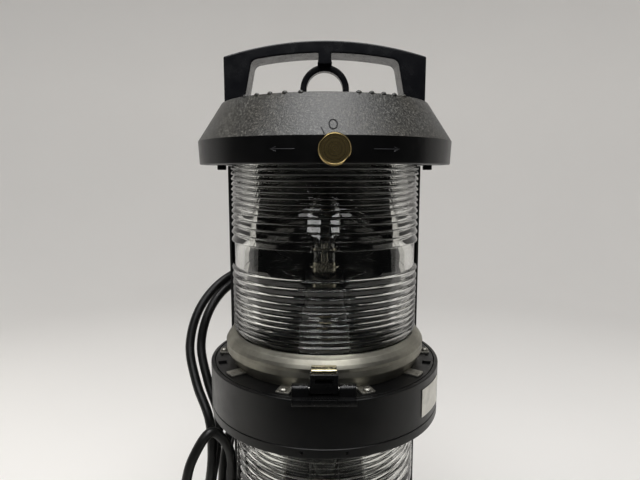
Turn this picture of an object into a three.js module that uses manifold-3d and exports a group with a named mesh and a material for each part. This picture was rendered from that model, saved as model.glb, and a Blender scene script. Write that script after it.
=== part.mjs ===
// Double-deck masthead navigation light: two lamp decks stacked on a base, under a bayonet cap with a carrying handle.
// Millimetres, +Z up, front towards -Y. The origin is the centre of the base's underside.
// Azimuths are counted in degrees from the front, positive towards +X.

import * as THREE from 'three';
import { mergeVertices } from 'three/addons/utils/BufferGeometryUtils.js';
import Module from 'manifold-3d';

const wasm = await Module();
wasm.setup();

// ---------------------------------------------------------------- driving dimensions

const GAP = 0.3; // clearance between touching pieces
const RING_SEGMENTS = 36; // round a full turn of a large ring
const MIDDLE_SEGMENTS = 18; // round a full turn of a lamp, knob or gland piece
const SMALL_SEGMENTS = 12; // round a full turn of a pin or screw

const HOUSING_RADIUS = 115.5;
const HOUSING_WALL = 3.6; // wall above the ledge that carries the top plate
const LEDGE_WIDTH = 3.4;
const PLATE_THICKNESS = 4;
const GROOVE = 0.8; // shadow groove round a top plate

const BASE_TOP = 69;
const BASE_FLOOR = 6;
const MIDDLE_BOTTOM = 262;
const MIDDLE_TOP = 313; // one deck pitch above the base's top
const WEB_BOTTOM = 274.3; // the middle housing's web, which presses on the lower lens
const WEB_THICKNESS = 3.7;

// Heights on a deck, above the housing's top face.
const DISH_TOP = 29.5;
const SEAT_TOP = 23;
const LENS_BOTTOM = 25.3;
const LENS_TOP = 202;
const LENS_BORE_RADIUS = 80.5;
const LENS_PRISM_RADIUS = 91.6;
const LENS_BELT_RADIUS = 89.5;
const LENS_SPIGOT_RADIUS = 87.4;
const LIGHT_CENTRE = 113.5;
const BELT_HALF = 18.5; // half the height of the plain belt round the light centre
const SEAL_THICKNESS = 1.7;
const SEAL_INNER = 80.5;
const SEAL_OUTER = 87;

const SCREEN_INNER = 109.5;
const SCREEN_OUTER = 112.4;
const SCREEN_TOP = 192.4;
const SCREEN_EDGE = 112.5; // azimuth of the screen's edges: the light shows over a 225 degree sector

const TAB_AZIMUTHS = [20, 55, 90, 125, 160, -20, -55, -90, -125, -160];
const SCREWED_AZIMUTHS = [20, 90, 160, -20, -90, -160];
const TAB_WIDTH = 13;
const TAB_REACH = 108.5;
const TAB_THICKNESS = 1.5;
const SCREW_ON_TAB_RADIUS = 104.5;

const LATCH_X = -1.2;
const LATCH_PIVOT_Y = -107;
const LATCH_PIVOT_Z = 7.5;
const LATCH_PIN_RADIUS = 1.6;

const TOP_RING_BOTTOM = 505.7;
const TOP_RING_OUTER = 112.3;
const TOP_RING_INNER = 96;
const BAYONET_REACH = 116.5; // outward tabs of the top ring
const BAYONET_HALF_ANGLE = 7;
const UNLOCK_ANGLE = 20; // how far the cap's lugs stand past the ring's tabs with the cap free to lift
const BAYONET_AZIMUTHS = [60, 180, -60];

const CAP_BOTTOM = 505.8;
const CAP_RADIUS = 121.6;
const CAP_TOP = 562;
const CAP_FLOOR = 551; // floor of the recess in the cap's top
const CAP_CEILING = 547.5;
const CAP_SHOULDER = 527; // where the band meets the cone
const RECESS_RADIUS = 97;

const HANDLE_DEPTH = 33;
const HANDLE_HALF = 95;
const HANDLE_SHOULDER = 606;
const HANDLE_APEX = 620.5;
const EYE_HEIGHT = 577.5;
const EYE_OUTER = 23.5;
const EYE_INNER = 17.5;
const EYE_DEPTH = 12;
const HANDLE_SCREW_X = 86.8;

const KNOB_AZIMUTH = 2.7;
const KNOB_HEIGHT = 516;
const KNOB_RADIUS = 12.2;

const GLAND_HEIGHT = 35;
const CABLE_RADIUS = 5;
const CABLE_STEPS = 72;
const CABLE_SIDES = 8;

// ---------------------------------------------------------------- finishes

const finish = (color, roughness, metalness = 0) => new THREE.MeshStandardMaterial({ color, roughness, metalness });

const blackPlastic = finish(0x1b1c1e, 0.45);
const blackPaint = finish(0x141416, 0.6);
const capPaint = finish(0x3a3b3d, 0.5);
const handlePaint = finish(0x101114, 0.35);
const steel = finish(0xa9a69d, 0.3, 1);
const brass = finish(0x8a6f3c, 0.35, 1);
const clearGlass = finish(0xdfe6e6, 0.05);
const sealRubber = finish(0x202020, 0.8);
const cableRubber = finish(0x1a1a1a, 0.55);
const socketPlastic = finish(0xd8d5cb, 0.6);
const tungsten = finish(0x777777, 0.4, 1);
const plateFoil = finish(0xe4e4df, 0.5);

// ---------------------------------------------------------------- geometry helpers

const radians = THREE.MathUtils.degToRad;

// A closed body: shared vertices are merged, collapsed triangles dropped, and the faces point out.
function closed(geometry) {
  geometry.deleteAttribute('normal');
  geometry.deleteAttribute('uv');
  const merged = mergeVertices(geometry, 1e-4);
  const place = merged.attributes.position;
  const corner = [new THREE.Vector3(), new THREE.Vector3(), new THREE.Vector3()];
  const kept = [];
  let volume = 0;
  for (let i = 0; i < merged.index.count; i += 3) {
    const [a, b, c] = [0, 1, 2].map((k) => merged.index.getX(i + k));
    if (a === b || b === c || a === c) continue;
    [a, b, c].forEach((vertex, k) => corner[k].fromBufferAttribute(place, vertex));
    volume += corner[0].dot(corner[1].clone().cross(corner[2]));
    kept.push([a, b, c]);
  }
  merged.setIndex((volume < 0 ? kept.map(([a, b, c]) => [a, c, b]) : kept).flat());
  return merged;
}

function solid(geometry) {
  const body = closed(geometry);
  return new wasm.Manifold(new wasm.Mesh({
    numProp: 3,
    vertProperties: Float32Array.from(body.attributes.position.array),
    triVerts: Uint32Array.from(body.index.array),
  }));
}

function geometryOf(manifold) {
  const mesh = manifold.getMesh();
  const geometry = new THREE.BufferGeometry();
  geometry.setAttribute('position', new THREE.BufferAttribute(Float32Array.from(mesh.vertProperties), 3));
  geometry.setIndex(Array.from(mesh.triVerts));
  return geometry;
}

// The first geometry with the others joined on, and then the last list cut away.
function built(first, joined = [], removed = []) {
  const whole = joined.reduce((body, piece) => body.add(solid(piece)), solid(first));
  return geometryOf(removed.reduce((body, piece) => body.subtract(solid(piece)), whole));
}

// Turns a profile of [radius, height] points about Z. It closes on itself unless both its ends are on the axis.
function turned(profile, segments = RING_SEGMENTS) {
  const onAxis = profile[0][0] === 0 && profile.at(-1)[0] === 0;
  const points = (onAxis ? profile : [...profile, profile[0]]).map(([r, z]) => new THREE.Vector2(r, z));
  return new THREE.LatheGeometry(points, segments).rotateX(Math.PI / 2);
}

const ring = (inner, outer, bottom, top, segments = RING_SEGMENTS) =>
  turned([[inner, bottom], [outer, bottom], [outer, top], [inner, top]], segments);

const disc = (radius, bottom, top, segments = RING_SEGMENTS) =>
  turned([[0, bottom], [radius, bottom], [radius, top], [0, top]], segments);

// Part of a tube about Z, between two azimuths.
function sector(inner, outer, bottom, top, from, to) {
  const [start, end] = [from, to].map((azimuth) => radians(azimuth - 90));
  const shape = new THREE.Shape();
  shape.absarc(0, 0, outer, start, end, false);
  shape.absarc(0, 0, inner, end, start, true);
  const step = 360 / RING_SEGMENTS; // an arc is cut twice per step
  const curveSegments = Math.ceil((to - from) / step);
  return new THREE.ExtrudeGeometry(shape, { depth: top - bottom, bevelEnabled: false, curveSegments }).translate(0, 0, bottom);
}

const block = (x, y, z) => new THREE.BoxGeometry(x[1] - x[0], y[1] - y[0], z[1] - z[0])
  .translate((x[0] + x[1]) / 2, (y[0] + y[1]) / 2, (z[0] + z[1]) / 2);

// Round bars along an axis of the frame, between two positions on it.
const barX = (radius, from, to, y, z, segments = SMALL_SEGMENTS) =>
  new THREE.CylinderGeometry(radius, radius, to - from, segments).rotateZ(Math.PI / 2).translate((from + to) / 2, y, z);

const barY = (radius, from, to, x, z, segments = SMALL_SEGMENTS) =>
  new THREE.CylinderGeometry(radius, radius, to - from, segments).translate(x, (from + to) / 2, z);

const barZ = (radius, from, to, x = 0, y = 0, segments = SMALL_SEGMENTS) =>
  disc(radius, from, to, segments).translate(x, y, 0);

// A piece built at the front, turned to its azimuth.
const atAzimuth = (geometry, azimuth) => geometry.rotateZ(radians(azimuth));

// ---------------------------------------------------------------- the scene graph

const light = new THREE.Group();
light.name = 'navigation_light';

function put(name, geometry, material, parent = light) {
  const body = closed(geometry);
  body.computeVertexNormals();
  const mesh = new THREE.Mesh(body, material);
  mesh.name = name;
  parent.add(mesh);
  return mesh;
}

// ---------------------------------------------------------------- housings

// The rim that both housings share: a wall, a chamfer and the ledge under the top plate.
function rimProfile(top) {
  const rim = HOUSING_RADIUS - HOUSING_WALL;
  const ledge = top - PLATE_THICKNESS - GAP;
  return [
    [HOUSING_RADIUS, top - 1], [HOUSING_RADIUS - 0.8, top], [rim, top],
    [rim, ledge], [rim - LEDGE_WIDTH, ledge],
  ];
}

const wallInside = HOUSING_RADIUS - HOUSING_WALL - LEDGE_WIDTH;

function baseHousing() {
  const LUG_AZIMUTHS = [45, 135, -45, -135];
  const LUG_CENTRE = 123.5;
  const LUG_HEIGHT = 9;
  const LUG_RADIUS = 10;
  const BOLT_HOLE_RADIUS = 4.5;
  const cup = turned([
    [0, 0], [HOUSING_RADIUS, 0], ...rimProfile(BASE_TOP), [wallInside, BASE_FLOOR], [0, BASE_FLOOR],
  ]);
  const lugs = [];
  const holes = [];
  for (const azimuth of LUG_AZIMUTHS) {
    const tongue = block([-LUG_RADIUS, LUG_RADIUS], [-LUG_CENTRE, 2 - HOUSING_RADIUS], [0, LUG_HEIGHT]);
    lugs.push(atAzimuth(tongue, azimuth));
    lugs.push(atAzimuth(barZ(LUG_RADIUS, 0, LUG_HEIGHT, 0, -LUG_CENTRE), azimuth));
    holes.push(atAzimuth(barZ(BOLT_HOLE_RADIUS, -1, LUG_HEIGHT + 1, 0, -LUG_CENTRE), azimuth));
  }
  const boss = block([-17, 17], [HOUSING_RADIUS - 5, HOUSING_RADIUS + 2], [GLAND_HEIGHT - 17, GLAND_HEIGHT + 17]);
  const glandHole = barY(10.2, wallInside - 4, HOUSING_RADIUS + 4, 0, GLAND_HEIGHT);
  return built(cup, [...lugs, boss], [...holes, glandHole]);
}

function middleHousing() {
  const CREASE = MIDDLE_BOTTOM + 9; // shallow groove above the lower lip
  const skirtInside = HOUSING_RADIUS - 4;
  const shell = turned([
    [HOUSING_RADIUS, MIDDLE_BOTTOM], [HOUSING_RADIUS, CREASE - 0.6], [HOUSING_RADIUS - 0.8, CREASE],
    [HOUSING_RADIUS, CREASE + 0.6], ...rimProfile(MIDDLE_TOP),
    [wallInside, WEB_BOTTOM + WEB_THICKNESS], [9, WEB_BOTTOM + WEB_THICKNESS], [9, WEB_BOTTOM],
    [skirtInside, WEB_BOTTOM], [skirtInside, MIDDLE_BOTTOM],
  ]);
  const lipHole = (x) => barY(1.3, -HOUSING_RADIUS - 2, 6 - HOUSING_RADIUS, x, MIDDLE_BOTTOM + 4.5, 8);
  return built(shell, [], [lipHole(-20), lipHole(18)]);
}

function topPlate(top) {
  const POCKET_AZIMUTH = 73;
  const radius = HOUSING_RADIUS - HOUSING_WALL - GROOVE;
  const plate = ring(10, radius, top - PLATE_THICKNESS, top);
  const pockets = [POCKET_AZIMUTH, -POCKET_AZIMUTH].map((azimuth) =>
    atAzimuth(block([-5, 5], [-108.8, -100.5], [top - 3, top + 1]), azimuth));
  return built(plate, [], pockets);
}

put('base_housing', baseHousing(), blackPlastic);
put('base_top_plate', topPlate(BASE_TOP), blackPlastic);
put('middle_housing', middleHousing(), blackPlastic);
put('middle_top_plate', topPlate(MIDDLE_TOP), blackPlastic);
put('rating_plate', sector(HOUSING_RADIUS + GAP, HOUSING_RADIUS + 0.9, 279, 305, 49, 69), plateFoil);

// ---------------------------------------------------------------- a lamp deck

// Pressed ring that seats the lens, with flat tabs round its foot.
function dish() {
  const shell = turned([
    [93.4, GAP], [94.4, 3.5], [99.8, 12], [99.1, 18], [100.2, 20.7], [98.9, 23.2], [90.4, DISH_TOP],
    [88.8, DISH_TOP], [88.8, SEAT_TOP], [78, SEAT_TOP], [78, SEAT_TOP - 1.6], [95.9, 18], [91.4, 4], [91.4, GAP],
  ]);
  const tabs = TAB_AZIMUTHS.map((azimuth) => atAzimuth(
    block([-TAB_WIDTH / 2, TAB_WIDTH / 2], [-TAB_REACH, -92.5], [GAP, GAP + TAB_THICKNESS]), azimuth));
  return built(shell, tabs);
}

function lens() {
  return turned([
    [LENS_BORE_RADIUS, LENS_BOTTOM], [LENS_SPIGOT_RADIUS, LENS_BOTTOM], [LENS_SPIGOT_RADIUS, DISH_TOP + 1],
    [LENS_PRISM_RADIUS, DISH_TOP + 2], [LENS_PRISM_RADIUS, LIGHT_CENTRE - BELT_HALF],
    [LENS_BELT_RADIUS, LIGHT_CENTRE - BELT_HALF + 1], [LENS_BELT_RADIUS, LIGHT_CENTRE + BELT_HALF - 1],
    [LENS_PRISM_RADIUS, LIGHT_CENTRE + BELT_HALF], [LENS_PRISM_RADIUS, LENS_TOP], [LENS_BORE_RADIUS, LENS_TOP],
  ]);
}

function pedestal() {
  return turned([[10, GAP], [34, GAP], [34, 4], [27, 8], [24, 56], [26, 62], [10, 62]], MIDDLE_SEGMENTS);
}

function socket() {
  return turned([[8, 62.3], [22, 62.3], [22, 70], [19, 74], [19, 86], [13.4, 86], [13.4, 77], [8, 77]], MIDDLE_SEGMENTS);
}

// Metal cap of the bulb: contact, shell, focusing collar and the stem under the filament.
function bulbCap() {
  return turned([
    [0, 77.5], [5, 77.5], [6, 80], [12.6, 81], [12.6, 92], [16, 92], [16, 93.5], [12.6, 93.5], [12.6, 97], [4, 97],
    [3.4, 101], [0, 101],
  ], MIDDLE_SEGMENTS);
}

// Blown envelope, open at its neck where it is cemented into the cap.
function bulbGlass() {
  return turned([
    [12.2, 97.3], [12.6, 101], [19.5, LIGHT_CENTRE], [18, 125], [8.5, 135], [0, 137],
    [0, 136], [8, 134], [17, 124.5], [18.5, LIGHT_CENTRE], [11.4, 101.3], [11, 97.3],
  ], MIDDLE_SEGMENTS);
}

// Two support wires with the coil between them.
function filament() {
  const coil = barX(1.2, -6.4, 6.4, 0, LIGHT_CENTRE, 8);
  const wire = (x) => barZ(0.6, 101.3, LIGHT_CENTRE, x, 0, 6);
  const bridge = block([-6.4, 6.4], [-0.7, 0.7], [101.3, 102.6]);
  return built(coil, [wire(-5.6), wire(5.6), bridge]);
}

function tabScrew(azimuth) {
  const top = GAP + TAB_THICKNESS + GAP;
  const head = turned([[0, top], [3.6, top], [3.6, top + 1.2], [2.4, top + 2.3], [0, top + 2.3]], SMALL_SEGMENTS);
  return atAzimuth(head.translate(0, -SCREW_ON_TAB_RADIUS, 0), azimuth);
}

// Latch bracket: a thin plate with a down-turned lip over the housing's edge, and a lug each side of the lever.
function latchBracket() {
  const HALF = 27;
  const LUG_INSIDE = 12.7;
  const PLATE_TOP = 2;
  const LIP_FRONT = -117.8;
  const LUG_BACK = -103.1;
  const plate = block([-HALF, HALF], [LIP_FRONT, LUG_BACK], [GAP, PLATE_TOP]);
  const lip = block([-HALF, HALF], [LIP_FRONT, LIP_FRONT + 1.9], [-3.5, PLATE_TOP]);
  const lug = (from, to) => block([from, to], [-112, LUG_BACK], [GAP, 11.5]);
  const bore = barX(LATCH_PIN_RADIUS + GAP, -HALF - 1, HALF + 1, LATCH_PIVOT_Y, LATCH_PIVOT_Z);
  return built(plate, [lip, lug(-HALF, -LUG_INSIDE), lug(LUG_INSIDE, HALF)], [bore]);
}

function latchLever() {
  const body = block([-12, 12], [-111, -103.2], [4.4, 21]);
  const window_ = block([-7.6, 7.6], [-112.5, -101.5], [13, 17.2]);
  const bore = barX(LATCH_PIN_RADIUS + GAP, -13, 13, LATCH_PIVOT_Y, LATCH_PIVOT_Z);
  return built(body, [], [window_, bore]);
}

function latchHook() {
  const reach = block([-10.5, 10.5], [-110.3, -98.8], [23.4, 25]);
  const leg = block([-10.5, 10.5], [-110.3, -106.5], [21.3, 25]);
  return built(reach, [leg]);
}

const latchPin = () => barX(LATCH_PIN_RADIUS, -27, 27, LATCH_PIVOT_Y, LATCH_PIVOT_Z);

function lampDeck(prefix, height) {
  const deck = new THREE.Group();
  deck.position.z = height;
  light.add(deck);
  const add = (name, geometry, material) => put(`${prefix}_${name}`, geometry, material, deck);

  add('dish', dish(), steel);
  add('seat_gasket', ring(SEAL_INNER, SEAL_OUTER, SEAT_TOP + GAP, SEAT_TOP + GAP + SEAL_THICKNESS), sealRubber);
  add('lens', lens(), clearGlass);
  add('rear_screen', sector(SCREEN_INNER, SCREEN_OUTER, GAP, SCREEN_TOP, SCREEN_EDGE, 360 - SCREEN_EDGE), blackPaint);
  add('lamp_pedestal', pedestal(), blackPlastic);
  add('lamp_socket', socket(), blackPlastic);
  add('bulb_cap', bulbCap(), brass);
  add('bulb_glass', bulbGlass(), clearGlass);
  add('filament', filament(), tungsten);
  SCREWED_AZIMUTHS.forEach((azimuth, i) => add(`tab_screw_${i + 1}`, tabScrew(azimuth), steel));

  const latch = new THREE.Group();
  latch.position.x = LATCH_X;
  deck.add(latch);
  put(`${prefix}_latch_bracket`, latchBracket(), blackPlastic, latch);
  put(`${prefix}_latch_pin`, latchPin(), steel, latch);
  put(`${prefix}_latch_lever`, latchLever(), blackPlastic, latch);
  put(`${prefix}_latch_hook`, latchHook(), steel, latch);
}

lampDeck('lower', BASE_TOP);
lampDeck('upper', MIDDLE_TOP);
put('lower_top_gasket', ring(SEAL_INNER, SEAL_OUTER, BASE_TOP + LENS_TOP + GAP, WEB_BOTTOM - GAP), sealRubber);

// ---------------------------------------------------------------- top ring, cap and handle

function topRing() {
  const annulus = turned([
    [TOP_RING_INNER, TOP_RING_BOTTOM], [TOP_RING_OUTER, TOP_RING_BOTTOM], [TOP_RING_OUTER, 522], [109.3, 522],
    [109.3, TOP_RING_BOTTOM + 3], [TOP_RING_INNER, TOP_RING_BOTTOM + 3],
  ]);
  const tabs = BAYONET_AZIMUTHS.map((azimuth) =>
    sector(110.5, BAYONET_REACH, 511.6, 514.6, azimuth - BAYONET_HALF_ANGLE, azimuth + BAYONET_HALF_ANGLE));
  const underLugs = [90, -90].map((azimuth) => atAzimuth(block([-6, 6], [-105.5, -98.5], [501, 507]), azimuth));
  return built(annulus, [...tabs, ...underLugs]);
}

function capShell() {
  const shell = turned([
    [0, CAP_FLOOR], [RECESS_RADIUS, CAP_FLOOR], [RECESS_RADIUS, CAP_TOP - 0.8], [RECESS_RADIUS + 0.8, CAP_TOP],
    [98.8, CAP_TOP], [99.9, CAP_TOP - 1.5], [CAP_RADIUS, CAP_SHOULDER], [CAP_RADIUS - 1, CAP_BOTTOM],
    [117.6, CAP_BOTTOM], [118.2, CAP_SHOULDER - 2], [104.6, CAP_CEILING], [0, CAP_CEILING],
  ]);
  const lugs = BAYONET_AZIMUTHS.map((azimuth) => sector(
    113.6, 119.4, 507.2, 511.2, azimuth + UNLOCK_ANGLE - BAYONET_HALF_ANGLE, azimuth + UNLOCK_ANGLE + BAYONET_HALF_ANGLE));
  const screwHoles = [HANDLE_SCREW_X, -HANDLE_SCREW_X].map((x) => barZ(3.5, CAP_CEILING - 2, CAP_FLOOR + 2, x, 0));
  const knobHole = atAzimuth(barY(4.6, -130, -112, 0, KNOB_HEIGHT), KNOB_AZIMUTH);
  return built(shell, lugs, [...screwHoles, knobHole]);
}

// Disc that presses the seal on the upper lens, with three spacer posts up to the cap's ceiling.
function innerCover() {
  const cover = turned([
    [0, 518.8], [93.4, 518.8], [93.4, 512], [95, 512], [95, 521], [0, 521],
  ]);
  const posts = [0, 120, 240].map((azimuth) => atAzimuth(barZ(5, 520, CAP_CEILING - GAP, 0, -70), azimuth));
  return built(cover, posts);
}

function handle() {
  const INNER_TOP_X = 68.5;
  const INNER_FOOT_X = 78.6;
  const INNER_CORNER = 603;
  const INNER_APEX = 609.5;
  const foot = CAP_FLOOR + GAP;
  // Radius of the arc over a chord of half width w that rises by s.
  const arcRadius = (w, s) => (w * w + s * s) / (2 * s);
  const topRadius = arcRadius(HANDLE_HALF, HANDLE_APEX - HANDLE_SHOULDER);
  const underRadius = arcRadius(INNER_TOP_X, INNER_APEX - INNER_CORNER);
  const topHalfAngle = Math.asin(HANDLE_HALF / topRadius);
  const underHalfAngle = Math.asin(INNER_TOP_X / underRadius);

  const outline = new THREE.Shape();
  outline.moveTo(-INNER_FOOT_X, foot);
  outline.lineTo(-HANDLE_HALF, foot);
  outline.lineTo(-HANDLE_HALF, HANDLE_SHOULDER);
  outline.absarc(0, HANDLE_APEX - topRadius, topRadius, Math.PI / 2 + topHalfAngle, Math.PI / 2 - topHalfAngle, true);
  outline.lineTo(HANDLE_HALF, foot);
  outline.lineTo(INNER_FOOT_X, foot);
  outline.lineTo(INNER_TOP_X, INNER_CORNER);
  outline.absarc(0, INNER_APEX - underRadius, underRadius, Math.PI / 2 - underHalfAngle, Math.PI / 2 + underHalfAngle, false);
  outline.closePath();
  const bow = new THREE.ExtrudeGeometry(outline, { depth: HANDLE_DEPTH, bevelEnabled: false, curveSegments: 8 })
    .rotateX(Math.PI / 2).translate(0, HANDLE_DEPTH / 2, 0);

  const stem = block([-6, 6], [-HANDLE_DEPTH / 2, HANDLE_DEPTH / 2], [EYE_HEIGHT + EYE_OUTER - 1.5, INNER_APEX + 2]);
  const eye = ring(EYE_INNER, EYE_OUTER, -EYE_DEPTH / 2, EYE_DEPTH / 2, MIDDLE_SEGMENTS)
    .rotateX(Math.PI / 2).translate(0, 0, EYE_HEIGHT);
  const screwHole = (x) => barZ(3.3, foot - 1, 563, x, 0);
  return built(bow, [stem, eye], [screwHole(HANDLE_SCREW_X), screwHole(-HANDLE_SCREW_X)]);
}

function handleScrew(x) {
  const head = CAP_CEILING - GAP;
  return turned([[0, head - 5.5], [5, head - 5.5], [5, head], [3, head], [3, 561], [0, 561]], SMALL_SEGMENTS).translate(x, 0, 0);
}

// Locking knob: a turned head in front of the band, and a stem whose tip bears on the top ring.
function knob() {
  return turned([
    [0, 112.9], [3.2, 112.9], [4, 114], [4, 123.4], [10.8, 123.4], [KNOB_RADIUS, 124.6], [KNOB_RADIUS, 133.2],
    [11.2, 134.6], [8.5, 134.6], [8, 134], [0, 134],
  ], MIDDLE_SEGMENTS).rotateX(Math.PI / 2).translate(0, 0, KNOB_HEIGHT);
}

function knobWasher() {
  return ring(4.6, 9.5, 121.6, 123.1, MIDDLE_SEGMENTS).rotateX(Math.PI / 2).translate(0, 0, KNOB_HEIGHT);
}

put('top_ring', topRing(), blackPlastic);
put('cap_gasket', ring(SEAL_INNER, LENS_BELT_RADIUS, MIDDLE_TOP + LENS_TOP + GAP, 518.5), sealRubber);
put('cap_shell', capShell(), capPaint);
put('cap_inner_cover', innerCover(), blackPlastic);
put('handle', handle(), handlePaint);
put('handle_screw_left', handleScrew(-HANDLE_SCREW_X), steel);
put('handle_screw_right', handleScrew(HANDLE_SCREW_X), steel);

const knobGroup = new THREE.Group();
knobGroup.rotation.z = radians(KNOB_AZIMUTH);
light.add(knobGroup);
put('knob', knob(), brass, knobGroup);
put('knob_washer', knobWasher(), brass, knobGroup);

// ---------------------------------------------------------------- gland, terminals and cable

const onGlandAxis = (geometry) => geometry.rotateX(-Math.PI / 2).translate(0, 0, GLAND_HEIGHT);
const GLAND_BORE = CABLE_RADIUS + 2 * GAP;

// Body: a threaded shank through the wall, with a hexagonal flange against the boss.
function glandBody() {
  const shank = disc(9.6, 102, 127.5, MIDDLE_SEGMENTS);
  const flange = disc(14, 117.9, 121.5, 6);
  return onGlandAxis(built(shank, [flange], [disc(GLAND_BORE, 101, 129, MIDDLE_SEGMENTS)]));
}

// Dome nut that ends in a tapered nose round the cable.
const glandNut = () => onGlandAxis(turned([
  [9.9, 121.8], [13.5, 121.8], [13.5, 130.5], [11.5, 132.5], [8, 144.5], [GLAND_BORE, 144.5], [GLAND_BORE, 134.5],
  [8, 130.5], [9.9, 128],
], MIDDLE_SEGMENTS));

const glandLocknut = () => onGlandAxis(built(disc(14, 102.8, 106.5, 6), [], [disc(9.9, 101, 109, MIDDLE_SEGMENTS)]));

function terminalBlock() {
  const body = block([-32, 32], [20, 42], [BASE_FLOOR + GAP, 26]);
  const channels = [-21, -7, 7, 21].map((x) => block([x - 4.5, x + 4.5], [18, 44], [19, 30]));
  return built(body, [], channels);
}

put('gland_body', glandBody(), blackPlastic);
put('gland_nut', glandNut(), blackPlastic);
put('gland_locknut', glandLocknut(), blackPlastic);
put('terminal_block', terminalBlock(), socketPlastic);

// The cable leaves the gland, runs along the floor to the left, makes two tall turns that lean on the housings,
// is wrapped once round their waist, and ends on the floor. The points are its centreline.
const CABLE_ENTRY = [
  [0, 121.5, 35], [0, 139.5, 35], [0, 156, 34.8], [-7, 174, 27], [-28, 180, 14], [-55, 173, 6.5], [-84, 153, 5.4], [-108, 127, 8],
  [-119, 99, 28],
];
const CABLE_TURN = [
  [-120, 72, 66], [-118, 60, 115], [-115, 62, 165], [-105, 80, 212], [-90, 102, 250], [-70, 120, 284], [-58, 128, 322],
  [-64, 124, 358], [-86, 107, 381], [-117, 82, 373], [-142, 59, 345], [-151, 41, 306], [-140, 22, 268], [-123, 3, 236],
  [-120, -3, 198], [-126, -7, 150], [-136, -5, 100], [-143, 6, 50], [-138, 27, 14], [-126, 50, 22],
];
const CABLE_WRAP = [
  [-123, -6, 62], [-126, -20, 30], [-138, -34, 13], [-156, -36, 16], [-168, -32, 44], [-166, -31, 86], [-156, -33, 130],
  [-143, -38, 170], [-133, -35, 212], [-115, -25, 237], [-100, -16, 216], [-98, -12, 178], [-101, -16, 140],
  [-107, -22, 105], [-118.5, -35, 70], [-123, -54, 34], [-124, -78, 10], [-117, -104, 5.4], [-106, -130, 5.4], [-94, -154, 5.4],
];
const TURN_PITCH = 12.4; // between neighbouring turns
const TURN_COUNT = 2;
const STEP_IN_POINTS = 6; // points at the end of a turn over which it steps in to the next one
const LEFT_OUT = 3; // points of the last turn that the wrap replaces

// The line inside the turns that they step in towards, as [height, x, y].
const TURN_SPINE = [[48, -130, 24], [170, -124, 24], [230, -104, 24], [300, -104, 46], [338, -104, 46]];

function spineAt(height) {
  const z = THREE.MathUtils.clamp(height, TURN_SPINE[0][0], TURN_SPINE.at(-1)[0]);
  const next = Math.max(1, TURN_SPINE.findIndex(([h]) => h >= z));
  const [h0, x0, y0] = TURN_SPINE[next - 1];
  const [h1, x1, y1] = TURN_SPINE[next];
  const share = (z - h0) / (h1 - h0);
  return new THREE.Vector3(THREE.MathUtils.lerp(x0, x1, share), THREE.MathUtils.lerp(y0, y1, share), z);
}

function cableTurns() {
  const points = [];
  for (let turn = 0; turn < TURN_COUNT; turn += 1) {
    const used = turn === TURN_COUNT - 1 ? CABLE_TURN.length - LEFT_OUT : CABLE_TURN.length;
    for (let i = 0; i < used; i += 1) {
      const point = new THREE.Vector3(...CABLE_TURN[i]);
      const inward = spineAt(point.z).sub(point).normalize();
      const stepIn = Math.max(0, i - (CABLE_TURN.length - STEP_IN_POINTS)) / STEP_IN_POINTS;
      points.push(point.addScaledVector(inward, TURN_PITCH * (turn + stepIn)));
    }
  }
  return points;
}

const vectors = (list) => list.map((point) => new THREE.Vector3(...point));
const cableRoute = [...vectors(CABLE_ENTRY), ...cableTurns(), ...vectors(CABLE_WRAP)];

function roundSection(radius, sides) {
  const section = new THREE.Shape();
  for (let i = 0; i < sides; i += 1) {
    const angle = (2 * Math.PI * i) / sides;
    section[i ? 'lineTo' : 'moveTo'](radius * Math.cos(angle), radius * Math.sin(angle));
  }
  section.closePath();
  return section;
}

put('supply_cable', new THREE.ExtrudeGeometry(roundSection(CABLE_RADIUS, CABLE_SIDES), {
  extrudePath: new THREE.CatmullRomCurve3(cableRoute), steps: CABLE_STEPS, bevelEnabled: false,
}), cableRubber);

// The stripped end of the cable: three cores out of a short collar, in line with the cable's last stretch.
function cableTail() {
  const CORE_RADIUS = 1.4;
  const CORE_LENGTH = 45;
  const collar = barY(4.6, GAP, 6, 0, 0, 12);
  const core = (angle) => barY(CORE_RADIUS, 5, CORE_LENGTH, 2 * Math.sin(angle), 2 * Math.cos(angle), 8);
  return built(collar, [0, 1, 2].map((i) => core((2 * Math.PI * i) / 3)));
}

const tail = new THREE.Group();
const [beforeEnd, end] = cableRoute.slice(-2);
tail.position.copy(end);
tail.rotation.z = Math.atan2(end.y - beforeEnd.y, end.x - beforeEnd.x) - Math.PI / 2;
light.add(tail);
put('cable_tail', cableTail(), cableRubber, tail);

export default light;
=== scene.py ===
"""Double-deck masthead navigation light: finished surfaces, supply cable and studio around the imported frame.

Profiles and places are in millimetres, as on a drawing, and every mesh is made in metres.
The front looks towards -Y. Azimuths are degrees from the front, positive towards +X.
"""

from math import atan2, cos, pi, radians, sin, sqrt, tan

import bmesh
import bpy
from mathutils import Matrix, Vector


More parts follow.
